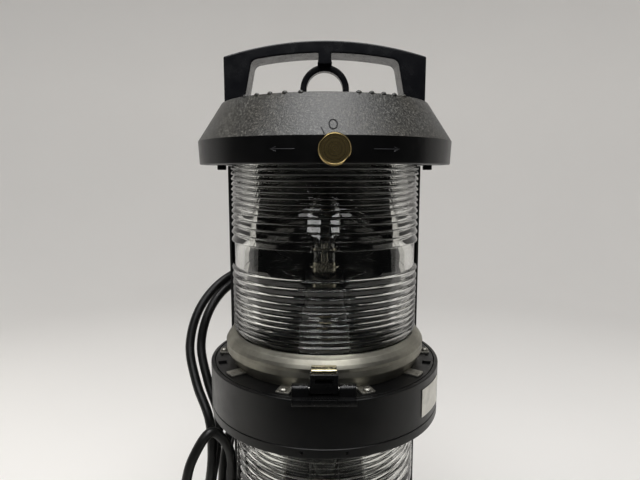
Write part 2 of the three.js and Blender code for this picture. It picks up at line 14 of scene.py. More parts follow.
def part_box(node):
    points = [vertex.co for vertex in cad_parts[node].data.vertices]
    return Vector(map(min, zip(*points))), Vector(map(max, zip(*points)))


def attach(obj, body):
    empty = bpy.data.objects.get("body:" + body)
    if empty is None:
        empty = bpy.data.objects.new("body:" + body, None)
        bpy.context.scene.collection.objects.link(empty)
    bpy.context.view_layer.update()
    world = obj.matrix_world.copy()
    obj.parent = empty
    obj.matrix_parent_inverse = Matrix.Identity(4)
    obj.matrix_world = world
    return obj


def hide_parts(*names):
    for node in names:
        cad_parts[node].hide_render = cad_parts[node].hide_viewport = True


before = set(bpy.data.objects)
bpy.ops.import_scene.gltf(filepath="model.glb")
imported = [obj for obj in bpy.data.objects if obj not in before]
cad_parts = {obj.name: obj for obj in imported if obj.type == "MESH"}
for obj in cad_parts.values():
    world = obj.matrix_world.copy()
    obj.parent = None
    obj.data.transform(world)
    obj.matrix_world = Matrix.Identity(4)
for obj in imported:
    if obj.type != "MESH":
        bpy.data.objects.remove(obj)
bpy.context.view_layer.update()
scene = bpy.context.scene
MM = 0.001


# ------------ sizes taken from the frame


def span(node, axis):
    """Lowest and highest coordinate of a CAD node along an axis, in millimetres."""
    low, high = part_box(node)
    return low[axis] / MM, high[axis] / MM


X, Y, Z = 0, 1, 2
HOUSING_RADIUS = span("middle_housing", X)[1]
BASE_TOP = span("base_housing", Z)[1]
MIDDLE_BOTTOM, MIDDLE_TOP = span("middle_housing", Z)
LENS_BOTTOM, LENS_TOP = (height - BASE_TOP for height in span("lower_lens", Z))
CAP_BOTTOM, CAP_TOP = span("cap_shell", Z)
CAP_RADIUS = span("cap_shell", X)[1]
RING_TOP = span("top_ring", Z)[1]
HANDLE_FOOT, HANDLE_APEX = span("handle", Z)
HANDLE_HALF = span("handle", X)[1]
HANDLE_DEPTH = 2 * span("handle", Y)[1]
SCREEN_OUTER = span("upper_rear_screen", Y)[1]
SCREEN_TOP = span("lower_rear_screen", Z)[1] - BASE_TOP
DECKS = {"lower": BASE_TOP, "upper": MIDDLE_TOP}


# ------------ camera

CAMERA_PLACE = (-0.0045, -0.507, 0.500)
CAMERA_PITCH = 7.78  # degrees below the horizon
CAMERA_LENS = 28.4  # on a 36 mm sensor


def add_camera():
    data = bpy.data.cameras.new("camera")
    data.lens = CAMERA_LENS
    data.sensor_width = 36
    data.clip_start = 0.01
    camera = bpy.data.objects.new("camera", data)
    camera.location = CAMERA_PLACE
    camera.rotation_euler = (radians(90 - CAMERA_PITCH), 0, 0)
    scene.collection.objects.link(camera)
    scene.camera = camera


add_camera()


# ------------ mesh helpers


FACING_FRONT = Matrix.Rotation(radians(90), 4, "X")  # Z of the drawing becomes -Y of the object
FACING_SIDE = Matrix(((0, 0, 1, 0), (1, 0, 0, 0), (0, 1, 0, 0), (0, 0, 0, 1)))  # drawn as Y and Z


def turn_about_z(azimuth):
    return Matrix.Rotation(radians(azimuth), 4, "Z")


def raised(height):
    return Matrix.Translation((0, 0, height))


def rounded(corners, steps=4):
    """Outline of (a, b) or (a, b, radius) corners, where those with a radius become arcs."""
    outline = []
    for i, corner in enumerate(corners):
        here = Vector(corner[:2])
        radius = corner[2] if len(corner) > 2 else 0
        if not radius:
            outline.append(here)
            continue
        back = (Vector(corners[i - 1][:2]) - here).normalized()
        ahead = (Vector(corners[(i + 1) % len(corners)][:2]) - here).normalized()
        half = back.angle(ahead) / 2
        centre = here + (back + ahead).normalized() * (radius / sin(half))
        start = here + back * (radius / tan(half)) - centre
        end = here + ahead * (radius / tan(half)) - centre
        first = atan2(start.y, start.x)
        swing = (atan2(end.y, end.x) - first + pi) % (2 * pi) - pi
        for k in range(steps + 1):
            angle = first + swing * k / steps
            outline.append(centre + Vector((cos(angle), sin(angle))) * radius)
    return outline


def arc(centre, radius, first, last, steps):
    """Points of an arc between two angles in degrees."""
    angles = [radians(first + (last - first) * k / steps) for k in range(steps + 1)]
    return [(centre[0] + radius * cos(a), centre[1] + radius * sin(a)) for a in angles]


def circle(centre, radius, sides):
    return arc(centre, radius, 0, 360 - 360 / sides, sides - 1)


def section(inner, outer, low, high, rounding):
    """Rectangular profile between two radii and two heights, with all corners rounded alike."""
    corners = [(inner, low), (outer, low), (outer, high), (inner, high)]
    return [(*corner, rounding) for corner in corners]


def piece_from(name, shape, place=None, sharp=35.0):
    """Makes an object of a bmesh in millimetres, smooth where its faces meet at less than sharp degrees."""
    bmesh.ops.recalc_face_normals(shape, faces=shape.faces)
    shape.transform(Matrix.Scale(MM, 4) @ (place or Matrix.Identity(4)))
    mesh = bpy.data.meshes.new(name)
    shape.to_mesh(mesh)
    shape.free()
    mesh.shade_smooth()
    mesh.set_sharp_from_angle(angle=radians(sharp))
    piece = bpy.data.objects.new(name, mesh)
    scene.collection.objects.link(piece)
    return piece


def turned(name, profile, segments=128, place=None, sharp=35.0, between=None, steps=4):
    """A profile of (radius, height, rounding) turned about Z, a full turn or between two azimuths."""
    shape = bmesh.new()
    start, end = between or (0, 360)
    count = segments if between is None else segments + 1
    angles = [radians(start + (end - start) * i / segments - 90) for i in range(count)]
    rows = []
    for radius, height in rounded(profile, steps):
        if radius < 1e-6 and between is None:
            rows.append([shape.verts.new((0, 0, height))] * count)
        else:
            places = [(radius * cos(a), radius * sin(a), height) for a in angles]
            rows.append([shape.verts.new(point) for point in places])
    steps = count if between is None else count - 1
    for row, upper in zip(rows, rows[1:] + rows[:1]):
        for i in range(steps):
            j = (i + 1) % count
            corners = list(dict.fromkeys([row[i], row[j], upper[j], upper[i]]))
            if len(corners) > 2:
                shape.faces.new(corners)
    if between:
        shape.faces.new([row[0] for row in rows])
        shape.faces.new([row[-1] for row in reversed(rows)])
    bmesh.ops.remove_doubles(shape, verts=shape.verts, dist=1e-5)
    return piece_from(name, shape, place, sharp)


def extruded(name, outline, low, high, bevel=0.0, place=None, segments=2, angle=30.0):
    """An outline of (x, y) pushed up Z from low to high, with edges over the angle rounded."""
    shape = bmesh.new()
    bottom = shape.faces.new([shape.verts.new((point[0], point[1], low)) for point in outline])
    top = bmesh.ops.extrude_face_region(shape, geom=[bottom])["geom"]
    moved = [v for v in top if isinstance(v, bmesh.types.BMVert)]
    bmesh.ops.translate(shape, verts=moved, vec=(0, 0, high - low))
    bmesh.ops.recalc_face_normals(shape, faces=shape.faces)
    if bevel:
        edges = [e for e in shape.edges if e.is_manifold and e.calc_face_angle() > radians(angle)]
        rounding = {"offset": bevel, "segments": segments, "profile": 0.5, "clamp_overlap": True}
        bmesh.ops.bevel(shape, geom=edges, affect="EDGES", **rounding)
    return piece_from(name, shape, place)


def drill(radius, low, high, place=None, centre=(0, 0), sides=24):
    """A round tool to cut a hole with."""
    return extruded("drill", circle(centre, radius, sides), low, high, 0, place)


def block(name, x, y, z, bevel=0.4, place=None, segments=2):
    """A box between two positions on each axis, with rounded edges."""
    outline = [(x[0], y[0]), (x[1], y[0]), (x[1], y[1]), (x[0], y[1])]
    return extruded(name, outline, z[0], z[1], bevel, place, segments=segments)


def remove(piece):
    mesh = piece.data
    bpy.data.objects.remove(piece)
    bpy.data.meshes.remove(mesh)


def combined(piece, tools, operation="UNION", sharp=35.0):
    """Joins the tools to the piece, or cuts them out of it, and deletes them."""
    for tool in tools:
        step = piece.modifiers.new("boolean", "BOOLEAN")
        step.operation = operation
        step.solver = "EXACT"
        step.object = tool
    graph = bpy.context.evaluated_depsgraph_get()
    mesh = bpy.data.meshes.new_from_object(piece.evaluated_get(graph))
    piece.modifiers.clear()
    old = piece.data
    piece.data = mesh
    bpy.data.meshes.remove(old)
    for tool in tools:
        remove(tool)
    mesh.shade_smooth()
    mesh.set_sharp_from_angle(angle=radians(sharp))
    return piece


def cut(piece, tools):
    return combined(piece, tools, "DIFFERENCE")


def merged(piece, others):
    """Puts other pieces that don't touch it into the same mesh."""
    shape = bmesh.new()
    shape.from_mesh(piece.data)
    for other in others:
        shape.from_mesh(other.data)
        remove(other)
    shape.to_mesh(piece.data)
    shape.free()
    return piece


def even_normals(piece):
    """Large faces keep flat normals beside the small faces that a cut leaves."""
    step = piece.modifiers.new("even normals", "WEIGHTED_NORMAL")
    step.keep_sharp = True


def settle(piece, material, slot, *nodes, body="root"):
    """Gives a piece its material, the CAD nodes that it stands for and its body; the slot is not used."""
    if not piece.data.materials:
        piece.data.materials.append(material)
    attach(piece, body)
    if nodes:
        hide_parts(*nodes)
    return piece


def moulded(piece, *nodes, body="root"):
    settle(piece, HOUSING_BLACK, "housing_black", *nodes, body=body)


def dress(node, material):
    """A CAD node keeps its shape and gets a finished material."""
    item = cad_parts[node]
    item.data.materials.clear()
    item.data.materials.append(material)


# ------------ material helpers


class Surface:
    """A material with one Principled shader, and shorthand for the nodes that vary it."""

    def __init__(self, name, **fixed):
        self.material = bpy.data.materials.new(name)
        self.material.use_nodes = True
        self.tree = self.material.node_tree
        self.shader = self.tree.nodes["Principled BSDF"]
        for socket, value in fixed.items():
            self.shader.inputs[socket.replace("_", " ")].default_value = value
        self.place = self.node("ShaderNodeTexCoord").outputs["Object"]

    def node(self, kind, **inputs):
        made = self.tree.nodes.new(kind)
        for socket, value in inputs.items():
            target = made.inputs[socket.replace("_", " ")]
            if isinstance(value, bpy.types.NodeSocket):
                self.tree.links.new(value, target)
            else:
                target.default_value = value
        return made

    def noise(self, scale, detail=3.0, roughness=0.5, vector=None):
        vector = vector or self.place
        made = self.node("ShaderNodeTexNoise", Scale=scale, Detail=detail, Roughness=roughness, Vector=vector)
        return made.outputs["Fac"]

    def mapped(self, **settings):
        """Position moved or scaled."""
        return self.node("ShaderNodeMapping", Vector=self.place, **settings).outputs["Vector"]

    def vector(self, **axes):
        return self.node("ShaderNodeCombineXYZ", **axes).outputs["Vector"]

    def length(self, **axes):
        made = self.node("ShaderNodeVectorMath")
        made.operation = "LENGTH"
        self.tree.links.new(self.vector(**axes), made.inputs[0])
        return made.outputs["Value"]

    def scaled(self, value, factor):
        made = self.node("ShaderNodeMath")
        made.operation = "MULTIPLY"
        self.tree.links.new(value, made.inputs[0])
        made.inputs[1].default_value = factor
        return made.outputs["Value"]

    def round_vector(self, sweep=0.02):
        """Distance from Z, height, and a little of X, for marks that run round the axis."""
        parts = self.node("ShaderNodeSeparateXYZ", Vector=self.place).outputs
        distance = self.length(X=parts["X"], Y=parts["Y"])
        return self.vector(X=distance, Y=self.scaled(parts["X"], sweep), Z=parts["Z"])

    def ramp(self, factor, stops):
        """Colours by factor; a stop is (position, colour) or (position, grey)."""
        made = self.node("ShaderNodeValToRGB", Fac=factor)
        elements = made.color_ramp.elements
        while len(elements) < len(stops):
            elements.new(0.5)
        for element, (position, colour) in zip(elements, stops):
            element.position = position
            element.color = (*colour, 1) if isinstance(colour, tuple) else (colour, colour, colour, 1)
        return made.outputs["Color"]

    def blend(self, factor, first, second):
        made = self.node("ShaderNodeMix")
        made.data_type = "RGBA"
        colours = [socket for socket in made.inputs if socket.type == "RGBA"]
        self.tree.links.new(factor, made.inputs[0])
        for socket, value in zip(colours, (first, second)):
            if isinstance(value, bpy.types.NodeSocket):
                self.tree.links.new(value, socket)
            else:
                socket.default_value = (*value, 1)
        return next(socket for socket in made.outputs if socket.type == "RGBA")

    def set(self, socket, value):
        self.tree.links.new(value, self.shader.inputs[socket])

    def vary(self, socket, factor, *stops):
        self.set(socket, self.ramp(factor, stops))

    def bump(self, height, distance, strength):
        made = self.node("ShaderNodeBump", Strength=strength, Distance=distance, Height=height)
        self.set("Normal", made.outputs["Normal"])


def shaded(tint, factor=1.0, added=0.0):
    """A colour with each channel multiplied and raised alike."""
    return tuple(channel * factor + added for channel in tint)


def moulded_black(name, tint=(0.0025, 0.0025, 0.0027), gloss=(0.32, 0.42), grain=0.00006, dust=0.003):
    """Satin black moulding: fine spark-eroded grain, faint dust and rubbed patches."""
    s = Surface(name, Specular_IOR_Level=0.38)
    worn = s.noise(26, detail=5, roughness=0.6)
    s.vary("Base Color", worn, (0.35, tint), (0.8, shaded(tint, added=dust)))
    s.vary("Roughness", s.noise(90, detail=4), (0.3, gloss[0]), (0.75, gloss[1]))
    s.bump(s.noise(1500, detail=2), grain, 0.6)
    return s.material


def cap_grain_and_top_light():
    """Coarse leather-like grain on the cap's cone, in greys far lighter than the band's black: painted top
    light on the same black moulding, mottled by the grain.
    """
    s = Surface("cap_grain_and_top_light", Specular_IOR_Level=0.62)
    mottle = s.noise(560, detail=4, roughness=0.7)
    cloud = s.noise(16, detail=3)
    # The lighter stops are painted light from overhead on the cone; only the darkest stop is the moulding's
    # own black.
    cold_lit_greys = [(0.36, (0.004, 0.004, 0.004)), (0.52, (0.035, 0.035, 0.033)), (0.66, (0.16, 0.16, 0.15))]
    warm_lit_greys = [(0.36, (0.008, 0.007, 0.006)), (0.54, (0.042, 0.039, 0.032)), (0.68, (0.14, 0.13, 0.11))]
    share = s.ramp(cloud, [(0.4, 0), (0.65, 1)])
    s.set("Base Color", s.blend(share, s.ramp(mottle, cold_lit_greys), s.ramp(mottle, warm_lit_greys)))
    s.vary("Roughness", mottle, (0.3, 0.34), (0.7, 0.52))
    s.bump(mottle, 0.00045, 0.85)
    return s.material


def pressed_steel():
    """Stainless sheet, spun, so that its fine marks run round the axis."""
    s = Surface("pressed_steel", Metallic=1.0)
    tint = (0.42, 0.405, 0.345)
    marks = s.noise(2600, detail=2, vector=s.round_vector())
    stain = s.noise(30, detail=5, roughness=0.6)
    s.vary("Base Color", stain, (0.34, shaded(tint, 0.62)), (0.62, tint))
    s.vary("Roughness", marks, (0.3, 0.42), (0.7, 0.58))
    s.bump(marks, 0.00002, 0.5)
    return s.material


def worn_steel():
    """Small sheet and screw parts: matt plating, scratched and spotted."""
    s = Surface("worn_steel", Metallic=1.0)
    tint = (0.46, 0.445, 0.40)
    spots = s.noise(480, detail=5, roughness=0.7)
    scratches = s.noise(900, detail=3, vector=s.mapped(Scale=(1, 0.15, 1)))
    s.vary("Base Color", spots, (0.33, shaded(tint, 0.45)), (0.5, tint))
    s.vary("Roughness", scratches, (0.3, 0.38), (0.7, 0.62))
    s.bump(spots, 0.00009, 0.6)
    return s.material


def turned_brass():
    """Brass with the rings that the turning tool left, and an olive tarnish between them."""
    s = Surface("turned_brass", Metallic=1.0)
    from_axis = s.mapped(Location=(-KNOB_FACE_X * MM, 0, -KNOB_HEIGHT * MM))
    parts = s.node("ShaderNodeSeparateXYZ", Vector=from_axis).outputs
    rings = s.noise(1300, detail=2, vector=s.vector(X=s.length(X=parts["X"], Y=parts["Z"])))
    tarnish = s.noise(140, detail=5, roughness=0.65)
    s.vary("Base Color", tarnish, (0.35, (0.40, 0.305, 0.13)), (0.7, (0.50, 0.375, 0.165)))
    s.vary("Roughness", rings, (0.3, 0.22), (0.7, 0.34))
    s.bump(rings, 0.00002, 0.5)
    return s.material


def clear_glass(name, tint, ior):
    """Glass with slight waves and marks of handling."""
    s = Surface(name, Transmission_Weight=1.0, IOR=ior)
    s.shader.inputs["Base Color"].default_value = (*tint, 1)
    s.vary("Roughness", s.noise(45, detail=4, roughness=0.6), (0.45, 0), (0.8, 0.05))
    s.bump(s.noise(70, detail=2), 0.00009, 0.35)
    return s.material


def soft_rubber(name, tint=(0.005, 0.005, 0.0048), gloss=(0.42, 0.6)):
    s = Surface(name, Specular_IOR_Level=0.45)
    bloom = s.noise(60, detail=5, roughness=0.65)
    s.vary("Base Color", bloom, (0.4, tint), (0.85, shaded(tint, added=0.006)))
    s.vary("Roughness", s.noise(160, detail=3), (0.3, gloss[0]), (0.7, gloss[1]))
    s.bump(s.noise(1200, detail=3), 0.00008, 0.5)
    return s.material


def ceramic():
    s = Surface("ceramic", Roughness=0.4, Coat_Weight=0.3)
    s.vary("Base Color", s.noise(700, detail=3), (0.3, (0.50, 0.48, 0.43)), (0.5, (0.70, 0.68, 0.62)))
    s.bump(s.noise(900), 0.00005, 0.4)
    return s.material


def bright_metal(name, tint, gloss=(0.15, 0.3)):
    s = Surface(name, Metallic=1.0)
    s.vary("Base Color", s.noise(220, detail=4), (0.3, shaded(tint, 0.7)), (0.6, tint))
    s.vary("Roughness", s.noise(500, detail=3), (0.3, gloss[0]), (0.7, gloss[1]))
    s.bump(s.noise(800, detail=3), 0.00003, 0.4)
    return s.material


def printed_foil():
    """Pale foil of the blank rating plate, slightly yellowed."""
    s = Surface("printed_foil", Roughness=0.42, Metallic=0.25)
    age = s.noise(70, detail=5, roughness=0.6)
    s.vary("Base Color", age, (0.3, (0.55, 0.53, 0.48)), (0.6, (0.78, 0.76, 0.70)))
    s.bump(s.noise(300), 0.00006, 0.4)
    return s.material


KNOB_HEIGHT = 516
KNOB_FACE_X = 6.3  # where the knob's axis meets its face

HOUSING_BLACK = moulded_black("housing_black")
BAND_BLACK = moulded_black("band_black", gloss=(0.28, 0.36), dust=0.002)
HANDLE_BLACK = moulded_black("handle_black", (0.0035, 0.0038, 0.0055), (0.2, 0.32), grain=0.00003)
SCREEN_BLACK = moulded_black("screen_black", (0.003, 0.003, 0.003), (0.45, 0.6))
LATCH_BLACK = moulded_black("latch_black", gloss=(0.24, 0.34), dust=0.004)
# The arrows' grey tint, and the 0.02 that lightens it in patches, is painted highlight: engraved lines in the
# black band that catch the overhead light.
MARK_GREY_PAINTED_HIGHLIGHT = moulded_black("mark_grey_painted_highlight", (0.03, 0.03, 0.034), (0.3, 0.4), dust=0.02)
MARK_DARK = moulded_black("mark_dark", (0.006, 0.006, 0.009), (0.5, 0.7), dust=0.002)
CAP_GRAIN_AND_TOP_LIGHT = cap_grain_and_top_light()
STEEL_DISH = pressed_steel()
STEEL_SMALL = worn_steel()
STEEL_PLAIN = bright_metal("plain_steel", (0.55, 0.54, 0.51), (0.22, 0.4))
STEEL_HOOK = bright_metal("hook_metal", (0.62, 0.55, 0.36), (0.14, 0.26))
BRASS = turned_brass()
LENS_GLASS = clear_glass("lens_glass", (0.925, 0.93, 0.90), 1.53)
BULB_GLASS = clear_glass("bulb_glass", (0.99, 0.995, 1), 1.48)
SEAL_RUBBER = soft_rubber("seal_rubber")
CABLE_RUBBER = soft_rubber("cable_rubber", gloss=(0.32, 0.5))
CERAMIC = ceramic()
NICKEL = bright_metal("bulb_cap_metal", (0.60, 0.56, 0.46))
TUNGSTEN = bright_metal("tungsten", (0.30, 0.30, 0.31), (0.3, 0.5))
COPPER = bright_metal("copper", (0.72, 0.36, 0.20), (0.25, 0.4))
FOIL = printed_foil()
CORE_COLOURS = {"brown": (0.10, 0.035, 0.015), "blue": (0.02, 0.07, 0.28), "green": (0.10, 0.25, 0.03)}


# ------------ supply cable

CABLE_DIAMETER = 10
CABLE_ENTRY = [
    (0, 121.5, 35), (0, 139.5, 35), (0, 156, 34.8), (-7, 174, 27), (-28, 180, 14), (-55, 173, 6.5),
    (-84, 153, 5.4), (-108, 127, 8), (-119, 99, 28),
]
CABLE_TURN = [
    (-120, 72, 66), (-118, 60, 115), (-115, 62, 165), (-105, 80, 212), (-90, 102, 250), (-70, 120, 284),
    (-58, 128, 322), (-64, 124, 358), (-86, 107, 381), (-117, 82, 373), (-142, 59, 345), (-151, 41, 306),
    (-140, 22, 268), (-123, 3, 236), (-120, -3, 198), (-126, -7, 150), (-136, -5, 100), (-143, 6, 50),
    (-138, 27, 14), (-126, 50, 22),
]
CABLE_WRAP = [
    (-123, -6, 62), (-126, -20, 30), (-138, -34, 13), (-156, -36, 16), (-168, -32, 44), (-166, -31, 86),
    (-156, -33, 130), (-143, -38, 170), (-133, -35, 212), (-115, -25, 237), (-100, -16, 216), (-98, -12, 178),
    (-101, -16, 140), (-107, -22, 105), (-118.5, -35, 70), (-123, -54, 34), (-124, -78, 10),
    (-117, -104, 5.4), (-106, -130, 5.4), (-94, -154, 5.4),
]
TURN_PITCH = 12.4  # between neighbouring turns
TURN_COUNT = 2
STEP_IN_POINTS = 6  # points at the end of a turn over which it steps in to the next one
LEFT_OUT = 3  # points of the last turn that the wrap replaces
TURN_SPINE = [(48, -130, 24), (170, -124, 24), (230, -104, 24), (300, -104, 46), (338, -104, 46)]


def spine_at(height):
    """The line inside the turns, given as (height, x, y), at a height."""
    z = min(max(height, TURN_SPINE[0][0]), TURN_SPINE[-1][0])
    after = max(1, next(i for i, row in enumerate(TURN_SPINE) if row[0] >= z))
    (z0, x0, y0), (z1, x1, y1) = TURN_SPINE[after - 1], TURN_SPINE[after]
    share = (z - z0) / (z1 - z0)
    return Vector((x0 + (x1 - x0) * share, y0 + (y1 - y0) * share, z))


def cable_points():
    points = [Vector(point) for point in CABLE_ENTRY]
    for turn in range(TURN_COUNT):
        used = len(CABLE_TURN) - (LEFT_OUT if turn == TURN_COUNT - 1 else 0)
        for i in range(used):
            point = Vector(CABLE_TURN[i])
            inward = (spine_at(point.z) - point).normalized()
            step_in = max(0, i - (len(CABLE_TURN) - STEP_IN_POINTS)) / STEP_IN_POINTS
            points.append(point + inward * (TURN_PITCH * (turn + step_in)))
    return points + [Vector(point) for point in CABLE_WRAP]


def centripetal(points, steps):
    """The centripetal Catmull-Rom curve through the points, as many short straight steps."""
    extended = [2 * points[0] - points[1], *points, 2 * points[-1] - points[-2]]
    curve = []
    for p0, p1, p2, p3 in zip(extended, extended[1:], extended[2:], extended[3:]):
        d0, d1, d2 = (sqrt((b - a).length) for a, b in ((p0, p1), (p1, p2), (p2, p3)))
        start = ((p1 - p0) / d0 - (p2 - p0) / (d0 + d1) + (p2 - p1) / d1) * d1
        end = ((p2 - p1) / d1 - (p3 - p1) / (d1 + d2) + (p3 - p2) / d2) * d1
        for k in range(steps):
            t = k / steps
            square = (-3 * p1 + 3 * p2 - 2 * start - end) * t**2
            cube = (2 * p1 - 2 * p2 + start + end) * t**3
            curve.append(p1 + start * t + square + cube)
    return [*curve, points[-1]]


def supply_cable():
    route = [point * MM for point in centripetal(cable_points(), 8)]
    data = bpy.data.curves.new("cable", "CURVE")
    data.dimensions = "3D"
    data.bevel_depth = CABLE_DIAMETER / 2 * MM
    data.bevel_resolution = 6
    data.use_fill_caps = True
    spline = data.splines.new("POLY")
    spline.points.add(len(route) - 1)
    for point, place in zip(spline.points, route):
        point.co = (*place, 1)
    spline.use_smooth = True
    cable = bpy.data.objects.new("cable", data)
    scene.collection.objects.link(cable)
    settle(cable, CABLE_RUBBER, "cable_rubber", "supply_cable")
    length = sum((b - a).length for a, b in zip(route, route[1:]))
    return cable, route, length


def cable_end(route):
    """The stripped end: a collar of inner sheath, three insulated cores and their bare strands."""
    CORE_RADIUS, CORE_REACH = 1.4, 33
    STRAND_RADIUS, TIP = CORE_RADIUS * 0.62, 45
    direction = (route[-1] - route[-2]).normalized()
    place = Matrix.Translation(route[-1] / MM) @ direction.to_track_quat("Z", "Y").to_matrix().to_4x4()
    collar = turned("cable_collar", [(0, 0.3), (4.6, 0.3), (4.6, 6, 0.8), (0, 6)], 32, place)
    made = [settle(collar, SEAL_RUBBER, "seal_rubber", "cable_tail")]
    for k, (colour, tint) in enumerate(CORE_COLOURS.items()):
        angle = 2 * pi * k / 3
        offset = place @ Matrix.Translation((2 * sin(angle), 2 * cos(angle), 0))
        sheath = [(0, 5), (CORE_RADIUS, 5), (CORE_RADIUS, CORE_REACH), (0, CORE_REACH)]
        core = turned(f"core_{colour}", sheath, 20, offset)
        settle(core, soft_rubber(f"core_{colour}", tint, (0.3, 0.4)), "cable_rubber")
        copper = [(0, CORE_REACH), (STRAND_RADIUS, CORE_REACH), (STRAND_RADIUS, TIP, 0.4), (0, TIP)]
        strand = turned(f"strand_{colour}", copper, 16, offset)
        settle(strand, COPPER, "core_copper")
        made += [core, strand]
    return made


cable, cable_route, cable_length = supply_cable()
cable_end(cable_route)


# ------------ housings

RIM_WALL = 3.6  # wall beside the top plate
RIM_LEDGE = 3.4
PLATE_THICKNESS = 4
PLATE_GROOVE = 0.8
WALL_INSIDE = HOUSING_RADIUS - RIM_WALL - RIM_LEDGE
GAP = 0.3
GLAND_HEIGHT = 35


def rim(top):
    """Upper end of a housing's profile: outer edge, groove side and the ledge under the top plate."""
    inside = HOUSING_RADIUS - RIM_WALL
    ledge = top - PLATE_THICKNESS - GAP
    return [(HOUSING_RADIUS, top, 1.1), (inside, top, 0.5), (inside, ledge), (WALL_INSIDE, ledge, 0.4)]


def base_housing():
    """Pot with a floor, a groove above its foot, four mounting lugs and the gland's boss."""
    outside = HOUSING_RADIUS
    FLOOR = 6
    LUG_CENTRE, LUG_RADIUS, LUG_HEIGHT, LUG_BORE = 123.5, 10, 9, 4.5
    profile = [
        (0, 0), (outside, 0, 1), (outside, 11, 0.6), (outside - 0.8, 12.2, 0.4),
        (outside, 13.4, 0.6), *rim(BASE_TOP), (WALL_INSIDE, FLOOR, 3), (0, FLOOR),
    ]
    shell = turned("base_shell", profile, 144)
    root = 3 - outside
    lug = [(-LUG_RADIUS, root), *arc((0, -LUG_CENTRE), LUG_RADIUS, 180, 360, 16), (LUG_RADIUS, root)]
    additions = []
    holes = []
    for azimuth in (45, 135, -45, -135):
        place = turn_about_z(azimuth)
        additions.append(extruded("lug", lug, 0, LUG_HEIGHT, 0.8, place))
        holes.append(drill(LUG_BORE, -1, LUG_HEIGHT + 1, place, (0, -LUG_CENTRE)))
    additions.append(block("boss", (-17, 17), (outside - 5, outside + 2), (18, 52), 1.2))
    holes.append(drill(10.2, -outside - 4, -96, raised(GLAND_HEIGHT) @ FACING_FRONT, sides=36))
    combined(shell, additions)
    cut(shell, holes)
    even_normals(shell)
    moulded(shell, "base_housing")


def middle_housing():
    """Ring with a crease and two small holes low on its outside, and a web that the upper lamp stands on."""
    outside = HOUSING_RADIUS
    CREASE = MIDDLE_BOTTOM + 9
    WEB_BOTTOM, WEB_TOP, WEB_HOLE = 274.3, 278, 9
    skirt_inside = outside - 4
    profile = [
        (outside, MIDDLE_BOTTOM, 1), (outside, CREASE - 0.8, 0.3),
        (outside - 0.9, CREASE, 0.3), (outside, CREASE + 0.8, 0.3), *rim(MIDDLE_TOP),
        (WALL_INSIDE, WEB_TOP, 2), (WEB_HOLE, WEB_TOP, 0.6), (WEB_HOLE, WEB_BOTTOM, 0.6),
        (skirt_inside, WEB_BOTTOM, 1.5), (skirt_inside, MIDDLE_BOTTOM, 0.6),
    ]
    shell = turned("middle_shell", profile, 144)
    through = (outside - 6, outside + 2)
    cut(shell, [drill(1.4, *through, FACING_FRONT, (x, MIDDLE_BOTTOM + 4.5), 18) for x in (-20, 18)])
    even_normals(shell)
    moulded(shell, "middle_housing")


def top_plate(deck, top):
    POCKET_AZIMUTH, HOLE_AZIMUTH = 73, 84.6
    radius = HOUSING_RADIUS - RIM_WALL - PLATE_GROOVE
    foot = top - PLATE_THICKNESS
    profile = [(10, foot), (radius, foot), (radius, top, 0.5), (10, top, 0.5)]
    plate = turned(f"{deck}_deck_plate", profile, 144)
    depth = (top - 3, top + 1)
    tools = []
    for side in (1, -1):
        place = turn_about_z(side * POCKET_AZIMUTH)
        tools.append(block("pocket", (-5, 5), (-108.8, -100.5), depth, 0.5, place))
    for side in (1, -1):
        tools.append(drill(1.7, *depth, turn_about_z(side * HOLE_AZIMUTH), (0, -105), 18))
    cut(plate, tools)
    even_normals(plate)
    node = "base_top_plate" if deck == "lower" else "middle_top_plate"
    moulded(plate, node)


def rating_plate():
    """Blank label, bent to the housing's wall."""
    AZIMUTHS, THICKNESS = (49, 69), 0.45
    low, high = span("rating_plate", Z)
    inner = HOUSING_RADIUS + GAP
    outer = inner + THICKNESS
    profile = [(inner, low), (outer, low), (outer, high), (inner, high)]
    sheet = turned("label_sheet", profile, 24, between=AZIMUTHS)
    settle(sheet, FOIL, "plate_foil", "rating_plate")


base_housing()
middle_housing()
rating_plate()
for deck_name, deck_height in DECKS.items():
    top_plate(deck_name, deck_height)


# ------------ lamp decks

LIGHT_CENTRE = 113.5
LENS_CENTRE = 107.3  # middle of the plain belt
LENS_BELT = 89.5
BELT_HALF = 12.3
TIP_RADIUS = 93.0
ROOT_RADIUS = 89.3
BORE_RADIUS = 80.5
SPIGOT_RADIUS = 87.4
FIRST_PRISM = 7.8  # height of the prism beside the belt
PRISM_STEP = 0.55  # each further prism is this much lower, down to the last height
LAST_PRISM = 5.0
TAB_AZIMUTHS = (20, 55, 90, 125, 160, -20, -55, -90, -125, -160)
SCREWED_AZIMUTHS = (20, 90, 160, -20, -90, -160)
TAB_SCREW_RADIUS = 104.5
LATCH_X = -1.2
LATCH_PIVOT = (-107, 7.5)  # depth and height of the pin


def prism_edges(reach):
    """Distances from the belt's middle at which the prisms of one half meet."""
    edges = [BELT_HALF]
    while True:
        height = max(FIRST_PRISM - PRISM_STEP * (len(edges) - 1), LAST_PRISM)
        if edges[-1] + height > reach:
            return edges
        edges.append(edges[-1] + height)


def lens_half(reach):
    """Corners (radius, distance from the belt's middle, rounding) of a half's prisms, belt first."""
    edges = prism_edges(reach)
    corners = []
    for low, high in zip(edges, edges[1:]):
        corners += [(ROOT_RADIUS, low, 0.2), (TIP_RADIUS, low + 0.35, 1.2)]
    return [*corners, (ROOT_RADIUS, edges[-1], 0.2)]


